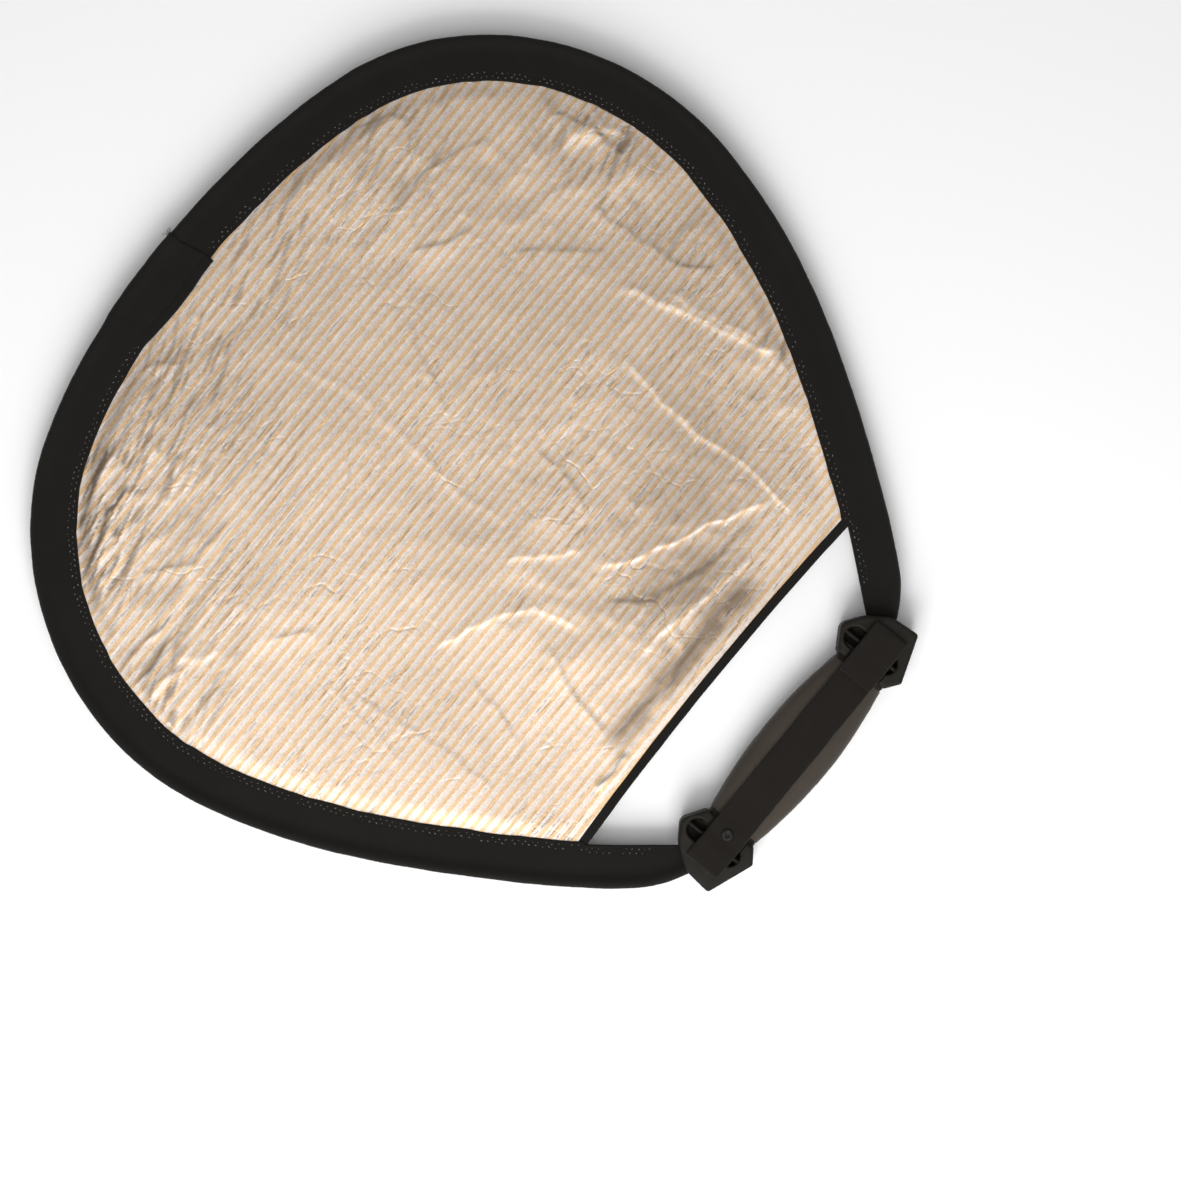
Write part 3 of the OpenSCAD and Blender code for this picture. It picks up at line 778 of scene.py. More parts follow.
def make_stitches():
    """Two rows of stitches near the binding's inner edge, on both faces."""
    rng = np.random.default_rng(404)
    verts, faces, run = [], [], []
    pitch, margin, missing = 3.7, 24, 0.14
    count = int(2 * (HALF_LENGTH - margin) / pitch)
    for face in (1, -1):
        for row, inset in enumerate(STITCH_ROWS):
            s = -HALF_LENGTH + margin + (np.arange(count) + 0.5 * row) * pitch
            s = s + rng.uniform(-0.5, 0.5, count)
            points, normals = edge_at(s)
            width = binding_width(s, points, normals)
            jitter = rng.uniform(-0.35, 0.35, count)
            bright = rng.beta(1.3, 1.6, count)
            size = rng.uniform(0.26, 0.52, count)
            skip = rng.uniform(0, 1, count) < missing
            for i in range(count):
                if skip[i] or LAP_FROM + 2 < s[i] < LAP_TO + 6:
                    continue
                p, n = points[i], normals[i]
                u = width[i] - inset + jitter[i]
                centre = np.array([p[0] - n[0] * u, p[1] - n[1] * u, face * 1.12])
                along = np.array([n[1], -n[0], 0.0])
                lean = 0.5 * (1 if row else -1)
                along = along * math.cos(lean) + np.array([n[0], n[1], 0]) * math.sin(lean)
                ball, sides = small_ball(centre, along, np.array([0, 0, 1.0]),
                                         size[i] * 1.25, size[i] * 0.72, 0.2)
                first = len(verts)
                verts += ball
                faces += [tuple(first + k for k in f) for f in sides]
                shade = 0.25 + 0.75 * bright[i]
                run += [(q * 0.2, 0.0, shade) for q in range(len(ball))]
    piece("seam_stitches", np.array(verts), faces, THREAD, ["seam_threads"],
          run=np.array(run))


# ---------------------------------------------------------------- panels

LIGHT_WAY = np.array([-0.80, -0.60])     # the side that the brighter light comes from
TAPE_TOP, TAPE_WIDTH, TAPE_R = 61.0, 5.0, 1900.0
PANEL_IN = 15.0                          # the panels end this far in from the outer edge

# folds of the front panel: tone (1 for a painted highlight along the crease, -1 for painted shade; it
# also picks the steep flank), height, steep width, gentle width, points
FRONT_FOLDS = [
    (-1, 1.2, 2.1, 9, [(-160, 347), (-146, 352), (-131, 359), (-113, 361)]),
    (-1, 1.4, 2.6, 9, [(-152, 364), (-128, 373), (-104, 381)]),
    (-1, 0.6, 1.3, 7, [(-112, 339), (-98, 346), (-84, 350)]),
    (-1, 0.5, 1.1, 5, [(-203, 301), (-180, 302), (-152, 298)]),
    (-1, 0.5, 1.0, 5, [(-203, 291), (-182, 290), (-160, 293)]),
    (-1, 0.4, 1.0, 4, [(-202, 279), (-186, 282), (-170, 277)]),
    (-1, 0.4, 1.2, 7, [(-150, 326), (-125, 308), (-95, 309)]),
    (1, 0.4, 1.2, 7, [(-172, 286), (-162, 272), (-152, 266)]),
    (-1, 0.35, 1.2, 6, [(-131, 251), (-122, 243), (-111, 237)]),
    (-1, 0.22, 1.0, 6, [(-129, 216), (-133, 190), (-135, 155)]),
    (-1, 0.22, 1.0, 6, [(-125, 201), (-119, 160), (-116, 105)]),
    (-1, 0.3, 1.2, 8, [(-79, 156), (-84, 135), (-91, 112)]),
    (-1, 0.45, 1.4, 9, [(-41, 137), (-50, 112), (-57, 80)]),
    (1, 0.55, 1.5, 12, [(-82, 181), (-55, 171), (-31, 153), (-23, 128)]),
    (1, 0.5, 1.3, 10, [(-20, 184), (-6, 168), (10, 154)]),
    (1, 0.7, 1.3, 12, [(5, 142), (24, 128), (42, 119), (68, 106), (96, 92)]),
    (1, 0.35, 1.3, 10, [(-15, 346), (-7, 320), (-3, 295), (-6, 260), (-10, 225), (-5, 190)]),
    (-1, 0.35, 1.2, 9, [(45, 301), (34, 280), (25, 260), (18, 250)]),
    (1, 0.4, 1.2, 6, [(40, 226), (30, 216), (20, 211)]),
    (-1, 0.4, 1.2, 6, [(35, 206), (36, 190), (34, 178), (27, 164)]),
    (1, 0.5, 1.0, 8, [(103, 206), (97, 176), (95, 150), (98, 110), (95, 76)]),
    (1, 0.6, 1.1, 9, [(128, 229), (135, 208), (141, 190), (148, 160), (152, 140)]),
    (1, 0.4, 1.0, 7, [(142, 206), (148, 178), (153, 150)]),
    (-1, 0.4, 1.2, 9, [(109, 281), (126, 262), (141, 240)]),
    (-1, 0.4, 1.2, 8, [(74, 323), (90, 312), (106, 304)]),
    (-1, 0.4, 1.4, 9, [(79, 343), (115, 344), (150, 329)]),
    (-1, 0.5, 1.3, 9, [(154, 266), (156, 240), (157, 215), (170, 190)]),
    (-1, 0.7, 1.6, 8, [(178, 312), (186, 290), (184, 268)]),
    (1, 0.6, 1.3, 7, [(192, 300), (190, 282), (195, 265)]),
    (1, 0.6, 1.2, 6, [(150, 150), (157, 140), (151, 129)]),
    (-1, 0.2, 1.8, 6, [(-62, 76), (-40, 77), (-12, 74), (20, 73), (52, 71)]),
    (1, 0.9, 4.0, 10, [(-14, 95), (12, 91), (40, 86), (66, 80)]),
    (-1, 0.5, 5.0, 18, [(-6, 128), (14, 108), (40, 97), (84, 92)]),
    (-1, 1.0, 2.4, 4, [(-84, 68), (-70, 66), (-58, 67)]),
    (-1, 0.45, 1.3, 7, [(-70, 396), (-56, 390), (-48, 380), (-20, 392)]),
    (1, 0.4, 1.1, 7, [(-22, 394), (-36, 384), (-60, 380)]),
    (1, 0.4, 1.2, 8, [(95, 398), (118, 386), (136, 376)]),
    (-1, 0.5, 1.2, 6, [(104, 388), (122, 379), (128, 366)]),
]

# folds of the rear panel, given as seen from the front
REAR_FOLDS = [
    (1, 0.5, 1.1, 9, [(-150, 210), (-110, 190), (-70, 196), (-20, 176)]),
    (-1, 0.5, 1.2, 8, [(-120, 250), (-70, 262), (-30, 240)]),
    (1, 0.5, 1.2, 9, [(60, 330), (40, 280), (46, 230), (30, 190)]),
    (-1, 0.4, 1.2, 8, [(130, 300), (112, 262), (120, 220)]),
    (1, 0.4, 1.1, 7, [(-30, 330), (-50, 300), (-44, 262)]),
    (-1, 0.6, 1.5, 9, [(170, 310), (150, 322), (120, 344)]),
    (1, 0.45, 1.2, 7, [(90, 170), (74, 132), (80, 96)]),
    (-1, 0.45, 1.2, 8, [(-90, 120), (-60, 112), (-34, 122)]),
    (-1, 0.5, 1.4, 8, [(-170, 330), (-150, 350), (-118, 366)]),
    (1, 0.35, 1.1, 7, [(0, 140), (20, 112), (24, 80)]),
]


def fold_relief(x, y, folds, light):
    """Folds as creases with one steep flank, turned to or from the light.

    Gives the relief and, along the crease line itself, how much painted highlight (+) or painted shade
    (-) is put on the film.
    """
    relief, painted_shading = np.zeros_like(x), np.zeros_like(x)
    for tone, height, steep, gentle, points in folds:
        points = np.array(points, float)
        margin = 3 * gentle + 4
        near = ((x > points[:, 0].min() - margin) & (x < points[:, 0].max() + margin)
                & (y > points[:, 1].min() - margin) & (y < points[:, 1].max() + margin))
        px, py = x[near], y[near]
        wander = 1.6 * noise(px, py, 9, int(points[0, 0]) % 97)
        px, py = px + wander, py + 1.6 * noise(px, py, 9, int(points[0, 1]) % 89)
        broken = 0.75 + 0.75 * noise(px, py, 5, 31)
        best = np.full(px.shape, 1e9)
        height_here, shade_here = np.zeros(px.shape), np.zeros(px.shape)
        lengths = np.linalg.norm(np.diff(points, axis=0), axis=1)
        total, done = lengths.sum(), 0.0
        for (ax, ay), (bx, by), length in zip(points[:-1], points[1:], lengths):
            ux, uy = (bx - ax) / length, (by - ay) / length
            t = np.clip((px - ax) * ux + (py - ay) * uy, 0, length)
            dx, dy = px - ax - t * ux, py - ay - t * uy
            distance = np.hypot(dx, dy)
            facing = -uy * light[0] + ux * light[1]
            side = np.sign(-uy * dx + ux * dy) * (1 if facing > 0 else -1) * tone
            fall = np.where(side > 0, steep, gentle)
            along = (done + t) / total
            taper = smooth(along / 0.12) * smooth((1 - along) / 0.12)
            value = 0.62 * height * taper * np.exp(-distance / (0.7 * fall))
            # a painted highlight (+) or painted shade (-) along the crease line
            line = tone * height * taper * broken * np.exp(-(distance / (0.28 * steep + 0.42)) ** 2)
            closer = distance < best
            best[closer] = distance[closer]
            height_here[closer] = value[closer]
            shade_here[closer] = line[closer]
            done += length
        relief[near] += height_here
        painted_shading[near] += shade_here
    return relief, painted_shading


def crumple(x, y, seed):
    """Faceted film: ridged noise at three sizes."""
    warp_x = x + 7 * noise(x, y, 30, seed)
    warp_y = y + 7 * noise(x, y, 30, seed + 1)
    total = np.zeros_like(x)
    for size, height in ((34, 0.50), (17, 0.26), (8, 0.12)):
        total += height * (1 - np.abs(noise(warp_x, warp_y * 1.25, size, seed + size)))
    return total


def strength_map(x, y, spots):
    """Sum of soft round spots: centre, radius, amount."""
    total = np.zeros_like(x)
    for cx, cy, radius, amount in spots:
        total += amount * np.exp(-((x - cx) ** 2 + (y - cy) ** 2) / radius ** 2)
    return total


FRONT_SPOTS = [(-150, 350, 60, 1.3), (-185, 290, 45, 1.1), (-60, 385, 50, 0.8),
               (110, 380, 55, 1.0), (183, 285, 32, 2.0), (150, 140, 30, 1.0),
               (40, 110, 60, 0.8), (-20, 75, 50, 0.8), (110, 230, 70, 0.5),
               (0, 200, 80, 0.35), (150, 330, 50, 0.8)]
REAR_SPOTS = [(0, 200, 150, 0.6), (-150, 330, 60, 0.9), (150, 330, 60, 0.9),
              (100, 120, 60, 0.6), (-110, 140, 60, 0.6)]
CALM = 0.22             # crumpling away from the spots
# where the film is gathered into short streaks, which are painted dark as shade
FRONT_STREAKS = [(-126, 374, 20, 1.3), (-152, 346, 24, 1.3), (-186, 270, 24, 1.0),
                 (-92, 358, 34, 0.6), (-50, 372, 34, 0.5), (0, 378, 40, 0.5),
                 (50, 384, 34, 0.55), (120, 368, 34, 0.65), (184, 284, 26, 1.2),
                 (160, 142, 16, 0.8), (170, 210, 22, 0.45), (-90, 110, 22, 0.25)]
REAR_STREAKS = [(-150, 335, 34, 0.8), (150, 335, 34, 0.7), (-60, 385, 30, 0.5),
                (-95, 110, 24, 0.6), (100, 105, 26, 0.5)]
STREAK_WAY = math.radians(14)


def streaks(x, y, spots):
    """Gathered streaks, 0 to about 1, lying roughly along the ribs: they raise the film a little and
    are painted dark as shade.
    """
    c, s = math.cos(STREAK_WAY), math.sin(STREAK_WAY)
    warp = 2.0 * noise(x, y, 34, 311) + 0.5 * noise(x, y, 11, 312)
    along, across = c * x + s * y, -s * x + c * y + warp
    lines = noise(along / 9, across, 1.4, 321) + 0.5 * noise(along / 6, across, 3.0, 322)
    return smooth((lines - 0.20) / 0.32) * strength_map(x, y, spots)


def slack(x, y):
    """Slow billow that both panels share."""
    return 0.9 * noise(x, y, 95, 71) + 0.5 * noise(x, y, 45, 72)


def rib_relief(y, pitch, height, sharp):
    turn = y / pitch
    turn = turn - np.floor(turn)
    return height * (1 - np.abs(2 * turn - 1) ** sharp)


def edge_room(x, y):
    """How free the panel is: 0 under the binding and the tape, 1 well inside."""
    s = np.linspace(-HALF_LENGTH, HALF_LENGTH, 420)
    points, _ = edge_at(s)
    depth = np.full(x.shape, 1e9)
    for px, py in points:
        depth = np.minimum(depth, (x - px) ** 2 + (y - py) ** 2)
    depth = np.sqrt(depth)
    tape = y - (TAPE_TOP - x * x / (2 * TAPE_R))
    return smooth((depth - BINDING_W - 0.5) / 9) * smooth((tape - 0.3) / 7), depth


# darker areas painted on the front film, which stand in for shading: x, y, radius, amount
FRONT_SHADE = [(88, 138, 44, 1.0), (56, 98, 26, 0.5), (140, 190, 50, 0.35), (20, 112, 44, 1.1),
               (-45, 196, 50, 0.55), (-112, 170, 55, 0.35), (-150, 275, 50, 0.2), (-100, 88, 34, 0.6),
               (22, 205, 40, 0.3), (24, 92, 26, 0.6)]
SHADE_DEPTH, TAPE_FOLD_SHADOW_DEPTH, STREAK_SHADE_DEPTH = 0.36, 0.82, 0.8
# a long painted shadow of a fold beside the tape: y where it starts, half width, x from and to
TAPE_FOLD_SHADOW, TAPE_FOLD_SHADOW_LEAN = (77.5, 7.4, -66.0, 62.0), 0.05


def panel_relief(x, y, face):
    """Height of a panel's outer surface from the middle plane, and the film's tone.

    The tone is 0.5 for flat film, less where shade is painted on it, more where highlight is painted
    on it.
    """
    room, depth = edge_room(x, y)
    if face > 0:
        wrinkles = crumple(x, y, 500) * (CALM + strength_map(x, y, FRONT_SPOTS))
        folds, painted_shading = fold_relief(x, y, FRONT_FOLDS, LIGHT_WAY)
        gathers = streaks(x, y, FRONT_STREAKS)
        ribs = rib_relief(y + GRIP_Y / MM, STRIPE_PITCH, 0.07, 3)
        # a painted shadow of a fold beside the tape, taken off the tone
        level, width, start, end = TAPE_FOLD_SHADOW
        level = level - TAPE_FOLD_SHADOW_LEAN * (x - start)
        fold_shadow = np.exp(-((y - level + 2 * noise(x, y, 22, 331)) / width) ** 2)
        fold_shadow = fold_shadow * smooth((x - start) / 16) * smooth((end - x) / 20)
        fold_shadow = fold_shadow * smooth((noise(x / 3, y, 5, 332) + 1.0) / 0.9)
        painted_shading = painted_shading - TAPE_FOLD_SHADOW_DEPTH * fold_shadow - SHADE_DEPTH * strength_map(x, y, FRONT_SHADE)
    else:
        wrinkles = crumple(x, y, 600) * (CALM + strength_map(x, y, REAR_SPOTS))
        folds, painted_shading = fold_relief(x, y, REAR_FOLDS, LIGHT_WAY)
        gathers = streaks(x, y, REAR_STREAKS)
        ribs = rib_relief(y + GRIP_Y / MM, RIB_PITCH, 0.22, 2)
    inside = smooth((depth - 20) / 6)
    height = 0.24 + (wrinkles + folds + 0.16 * gathers + face * slack(x, y)) * room + ribs * inside
    # the gathered streaks darken the tone as painted shade
    tone = 0.5 + 0.5 * np.clip(painted_shading - STREAK_SHADE_DEPTH * gathers, -1, 1)
    return height, tone


def panel_height(x, y, face):
    """Height of a panel's outer surface from the middle plane."""
    return panel_relief(x, y, face)[0]


def half_width(y, side):
    """Where the panel's edge lies at a height y, on one side."""
    s = np.linspace(0, HALF_LENGTH, 700) * side
    points, normals = edge_at(s)
    inner = points - normals * PANEL_IN
    order = np.argsort(inner[:, 1])
    return np.interp(y, inner[order, 1], inner[order, 0])


def make_panel(name, node, face, material, rows, cols):
    """One sheet of film: a fine grid outside, a coarser one on its hidden side."""
    top = ARCS[0][1] + TOP_R - PANEL_IN - 3.0
    low = TAPE_TOP - TAPE_WIDTH + 1.2
    y_rows = np.linspace(top, low, rows)
    left, right = half_width(y_rows, -1), half_width(y_rows, 1)
    t = np.linspace(0, 1, cols)
    x = left[:, None] + (right - left)[:, None] * t[None]
    sink = smooth((low + 18 - y_rows) / 18)
    y = y_rows[:, None] - sink[:, None] * x * x / (2 * TAPE_R)
    height, tone = panel_relief(x.ravel(), y.ravel(), face)
    height = height.reshape(x.shape)
    cloth_t = 0.22
    outer = np.stack([x, y, face * height], axis=2).reshape(-1, 3)
    # the hidden side: every fourth point inside, every point along the border
    step = 4
    index = {}
    hidden = []

    def under(i, j):
        if (i, j) not in index:
            index[i, j] = len(outer) + len(hidden)
            hidden.append((x[i, j], y[i, j], face * (height[i, j] - cloth_t)))
        return index[i, j]

    faces = []
    for i in range(rows - 1):
        for j in range(cols - 1):
            a = i * cols + j
            faces.append((a, a + 1, a + cols + 1, a + cols))
    for i in range(0, rows - 1, step):
        for j in range(0, cols - 1, step):
            i1, j1 = min(i + step, rows - 1), min(j + step, cols - 1)
            loop = [(i, k) for k in (range(j, j1) if i == 0 else (j,))]
            loop += [(k, j1) for k in (range(i, i1) if j1 == cols - 1 else (i,))]
            loop += [(i1, k) for k in (range(j1, j, -1) if i1 == rows - 1 else (j1,))]
            loop += [(k, j) for k in (range(i1, i, -1) if j == 0 else (i1,))]
            faces.append(tuple(under(*q) for q in reversed(loop)))
    border = [(0, j) for j in range(cols)] + [(i, cols - 1) for i in range(1, rows)]
    border += [(rows - 1, j) for j in range(cols - 2, -1, -1)]
    border += [(i, 0) for i in range(rows - 2, 0, -1)]
    for p, q in zip(border, border[1:] + border[:1]):
        faces.append((q[0] * cols + q[1], p[0] * cols + p[1], under(*p), under(*q)))
    verts = np.concatenate([outer, np.array(hidden)])
    shade = np.concatenate([tone, np.full(len(hidden), 0.5)])
    obj = piece(name, verts, faces, material, [node],
                run=np.stack([verts[:, 0], verts[:, 1], shade], axis=1))
    return obj


def make_tape():
    """The strip folded over the panels' lower edge, beside the hand opening."""
    reach = 113.0
    x = np.linspace(-reach, reach, 190)
    top = TAPE_TOP - x * x / (2 * TAPE_R)
    section = [(0.0, 0.0), (0.05, 0.55), (0.3, 0.82), (0.8, 0.95), (1.3, 0.88), (2.0, 0.96),
               (3.4, 0.98), (4.3, 0.9), (4.75, 0.6), (4.95, 0.0)]
    section = np.array(section + [(a, -b) for a, b in section[-2:0:-1]])
    m = len(section)
    xs = np.repeat(x[:, None], m, axis=1)
    depth = section[:, 0][None] + 0.12 * noise(xs, xs * 0, 14, 91) * (section[:, 0][None] < 1)
    depth = depth + 0.12 * noise(xs, xs * 0, 11, 92) * (section[:, 0][None] > 4)
    tuck = 1 - 0.35 * smooth((np.abs(xs) - 104) / 5)
    lift = (section[:, 1][None] + 0.05 * noise(xs, depth, 2.5, 93) * np.sign(section[:, 1])) * tuck
    y = top[:, None] - depth
    verts = np.stack([xs, y, lift], axis=2)
    run = np.stack([xs, depth * np.sign(section[:, 1] + 1e-9)[None], xs * 0], axis=2)
    piece("edge_tape_fold", verts.reshape(-1, 3), tube_faces(len(x), m), TAPE,
          ["edge_tape"], run=run.reshape(-1, 3))


# ---------------------------------------------------------------- label

LABEL_W, LABEL_L = 30.0, 37.0
LABEL_Y = TAPE_TOP + 0.2


def make_label():
    """Plain woven label sewn to the rear panel above the tape."""
    cols, rows = 61, 75
    u, v = np.meshgrid(np.linspace(-LABEL_W / 2, LABEL_W / 2, cols), np.linspace(0, LABEL_L, rows))
    x, y = u, LABEL_Y + v
    border = np.minimum(LABEL_W / 2 - np.abs(u), np.minimum(v, LABEL_L - v))
    base = panel_height(x.ravel(), y.ravel(), -1).reshape(x.shape)
    calm = (base + np.roll(base, 2, 0) + np.roll(base, -2, 0)) / 3
    calm[:3], calm[-3:] = base[:3], base[-3:]
    puff = 0.10 * smooth(border / 3) + 0.12 * noise(u, v, 8, 21) * smooth(border / 4)
    z_out = -(calm + 0.22 + puff)
    bars = ((np.abs(u) < 9) & ((np.abs(v - 23) < 1.2) | (np.abs(v - 17) < 0.5))).astype(float)
    frame_line = ((border > 1.7) & (border < 2.3)).astype(float)
    wear = np.clip(bars + frame_line, 0, 1)
    outer = np.stack([x, y, z_out], axis=2).reshape(-1, 3)
    inner = np.stack([x, y, z_out + 0.18], axis=2).reshape(-1, 3)
    run = np.stack([u.ravel(), v.ravel(), wear.ravel()], axis=1)
    obj = piece("rear_label", np.concatenate([outer, inner]), slab_faces(rows, cols), LABEL,
                ["label"], run=np.concatenate([run, run]))
    make_label_stitches()


def make_label_stitches():
    """Stitches along the label's border."""
    verts, faces, run = [], [], []
    inset, pitch = 1.1, 2.4
    corners = [(-LABEL_W / 2 + inset, inset), (LABEL_W / 2 - inset, inset),
               (LABEL_W / 2 - inset, LABEL_L - inset), (-LABEL_W / 2 + inset, LABEL_L - inset)]
    for (ax, ay), (bx, by) in zip(corners, corners[1:] + corners[:1]):
        length = math.hypot(bx - ax, by - ay)
        count = int(length / pitch)
        for i in range(count):
            t = (i + 0.5) / count
            x, y = ax + (bx - ax) * t, LABEL_Y + ay + (by - ay) * t
            z = -float(panel_height(np.array([x]), np.array([y]), -1)[0]) - 0.30
            along = np.array([(bx - ax) / length, (by - ay) / length, 0])
            ball, sides = small_ball(np.array([x, y, z]), along, np.array([0, 0, 1.0]),
                                     0.8, 0.22, 0.16)
            first = len(verts)
            verts += ball
            faces += [tuple(first + k for k in f) for f in sides]
            run += [(k * 0.2, 0, 0.85) for k in range(len(ball))]
    piece("label_stitches", np.array(verts), faces, THREAD, run=np.array(run))


# ---------------------------------------------------------------- caps

CAP_H = 10.0
CAP_CORNERS = [(53.5, -15.2, 2.0), (61.5, -21.0, 1.8), (87.5, -11.5, 2.2), (86.0, 5.0, 14.0),
               (78.0, 16.5, 20.0), (66.5, 24.5, 5.0), (53.5, 16.3, 3.0)]
WINDOW = (65.0, 3.0, 32.7, 11.5)       # centre x, centre y, length, width
WINDOW_FLOOR = 4.8
CORNER_IN, CORNER_OUT = WINDOW[0] - WINDOW[3] / 2, WINDOW[0] + WINDOW[3] / 2


def rounded_loop(corners, count):
    """A closed outline with its own radius at each corner, as evenly spaced points."""
    dense = []
    n = len(corners)
    for i in range(n):
        p = np.array(corners[i][:2])
        a = np.array(corners[i - 1][:2]) - p
        b = np.array(corners[(i + 1) % n][:2]) - p
        a, b = a / np.linalg.norm(a), b / np.linalg.norm(b)
        r = corners[i][2]
        half = math.acos(np.clip(a @ b, -1, 1)) / 2
        start, end = p + a * r / math.tan(half), p + b * r / math.tan(half)
        centre = p + (a + b) / np.linalg.norm(a + b) * r / math.sin(half)
        a0 = math.atan2(*(start - centre)[::-1])
        a1 = math.atan2(*(end - centre)[::-1])
        turn = (a1 - a0 + math.pi) % (2 * math.pi) - math.pi
        dense += [centre + r * np.array([math.cos(a0 + turn * k / 8), math.sin(a0 + turn * k / 8)])
                  for k in range(9)]
    return resample(np.array(dense), count, closed=True)


def resample(points, count, closed=False):
    if closed:
        points = np.concatenate([points, points[:1]])
    steps = np.concatenate([[0], np.cumsum(np.linalg.norm(np.diff(points, axis=0), axis=1))])
    at = np.linspace(0, steps[-1], count, endpoint=not closed)
    return np.stack([np.interp(at, steps, points[:, k]) for k in range(points.shape[1])], axis=1)


def inward_normals(loop):
    """Unit normals to the left of an anticlockwise closed loop."""
    way = np.roll(loop, -1, axis=0) - np.roll(loop, 1, axis=0)
    way = way / np.linalg.norm(way, axis=1)[:, None]
    return np.stack([-way[:, 1], way[:, 0]], axis=1)


def window_loop(count):
    cx, cy, length, width = WINDOW
    r = width / 2
    run = length / 2 - r
    points = [(cx + r * math.cos(a), cy + run + r * math.sin(a))
              for a in np.linspace(0, math.pi, 30)]
    points += [(cx - r * math.cos(a), cy - run - r * math.sin(a))
               for a in np.linspace(0, math.pi, 30)]
    return resample(np.array(points), count, closed=True)


def cap_mesh():
    """Upper half of the right cap: flange with a rounded window, as a bmesh in millimetres."""
    outline = rounded_loop(CAP_CORNERS, 180)
    outline_in = inward_normals(outline)
    window = window_loop(96)
    window_in = inward_normals(window)
    mesh = bmesh.new()
    wear = mesh.verts.layers.float.new("wear")
    edge_r, lip_r = 2.1, 1.5
    wall = [(0.30, 0.02), (0.06, 0.22), (0.0, 0.5), (0.12, CAP_H - edge_r - 1.5)]
    wall += [(0.2 + edge_r * (1 - math.cos(a)), CAP_H - edge_r + edge_r * math.sin(a))
             for a in np.linspace(0, math.pi / 2, 8)]
    rim = [(-lip_r - 0.6, CAP_H), (-lip_r, CAP_H + 0.12)]
    rim += [(-lip_r * (1 - math.sin(a)), CAP_H + 0.2 - lip_r * (1 - math.cos(a)))
            for a in np.linspace(0, math.pi / 2, 8)][1:]
    rim += [(0.12, WINDOW_FLOOR + 0.9), (0.35, WINDOW_FLOOR + 0.3), (0.9, WINDOW_FLOOR)]

    def ring(loop, normals, offset, z, worn):
        made = []
        for p, n in zip(loop, normals):
            v = mesh.verts.new((p[0] + n[0] * offset, p[1] + n[1] * offset, z))
            v[wear] = worn
            made.append(v)
        return made

    def join(lower, upper):
        for i in range(len(lower)):
            k = (i + 1) % len(lower)
            mesh.faces.new((lower[i], lower[k], upper[k], upper[i]))

    outer = [ring(outline, outline_in, o, z, 1.0 if z > CAP_H - edge_r else 0.15)
             for o, z in wall]
    inner = [ring(window, window_in, o, z, 0.9 if z > CAP_H - lip_r else 0.0) for o, z in rim]
    for rings in (outer, inner):
        for lower, upper in zip(rings[:-1], rings[1:]):
            join(lower, upper)
    mesh.faces.new(outer[0])
    mesh.faces.new(inner[-1])
    top_edges = [mesh.edges.get((loop[i], loop[(i + 1) % len(loop)]))
                 for loop in (outer[-1], inner[0]) for i in range(len(loop))]
    bmesh.ops.triangle_fill(mesh, use_beauty=True, use_dissolve=False, edges=top_edges,
                            normal=(0, 0, 1))
    bmesh.ops.recalc_face_normals(mesh, faces=mesh.faces)
    return mesh


NECK_X = (51.5, 60.5)


def neck_mesh():
    """The collar that joins the flange to the grip, flaring a little towards the flange."""
    mesh = bmesh.new()
    wear = mesh.verts.layers.float.new("wear")
    rings = []
    count = 44
    for x in np.linspace(*NECK_X, 12):
        t = (x - NECK_X[0]) / (NECK_X[1] - NECK_X[0])
        low = -14.9 - 1.7 * t ** 2
        high = 15.1 + 2.5 * t ** 2
        half = 9.15 + 0.1 * t
        power = 4.2 + 2.5 * t
        lip = 0.25 * (1 - smooth(t / 0.08))
        ring = []
        for k in range(count):
            a = math.pi * k / (count - 1)
            c, s = math.cos(a), math.sin(a)
            y = math.copysign(abs(c) ** (2 / power), c)
            z = abs(s) ** (2 / power) if s > 1e-6 else 0.0
            reach = (high if y > 0 else -low) - lip
            v = mesh.verts.new((x, y * reach, 0.02 + z * (half - lip)))
            v[wear] = 0.5 if t < 0.1 else 0.1
            ring.append(v)
        rings.append(ring)
    for lower, upper in zip(rings[:-1], rings[1:]):
        for i in range(count - 1):
            mesh.faces.new((lower[i], lower[i + 1], upper[i + 1], upper[i]))
        mesh.faces.new((lower[-1], lower[0], upper[0], upper[-1]))
    mesh.faces.new(rings[0])
    mesh.faces.new(rings[-1])
    bmesh.ops.recalc_face_normals(mesh, faces=mesh.faces)
    return mesh


def loose_object(name, mesh):
    """A temporary object from a bmesh, for boolean work."""
    data = bpy.data.meshes.new(name)
    mesh.to_mesh(data)
    mesh.free()
    obj = bpy.data.objects.new(name, data)
    bpy.context.scene.collection.objects.link(obj)
    return obj


def block(name, low, high):
    mesh = bmesh.new()
    bmesh.ops.create_cube(mesh, size=1)
    for v in mesh.verts:
        v.co = Vector([lo + (c + 0.5) * (hi - lo) for c, lo, hi in zip(v.co, low, high)])
    return loose_object(name, mesh)


def rod(name, centre, radius, z0, z1):
    mesh = bmesh.new()
    bmesh.ops.create_cone(mesh, cap_ends=True, segments=40, radius1=radius, radius2=radius,
                          depth=z1 - z0)
    bmesh.ops.translate(mesh, verts=mesh.verts, vec=(centre[0], centre[1], (z0 + z1) / 2))
    return loose_object(name, mesh)


def cut_away(obj, tool):
    """Takes the tool's shape out of the object."""
    change = obj.modifiers.new("cut", "BOOLEAN")
    change.operation = "DIFFERENCE"
    change.solver = "MANIFOLD"
    change.object = tool
    bpy.context.view_layer.update()
    view = bpy.context.evaluated_depsgraph_get()
    data = bpy.data.meshes.new_from_object(obj.evaluated_get(view))
    obj.modifiers.clear()
    obj.data = data
    bpy.data.objects.remove(tool)


STRAP_W, STRAP_T = 20.5, 1.4
SCREW_X, SCREW_Y, SCREW_HEAD_R = 55.5, 4.5, 2.4
RELIEF_Z = 9.24          # height of the flange's flat under the strap


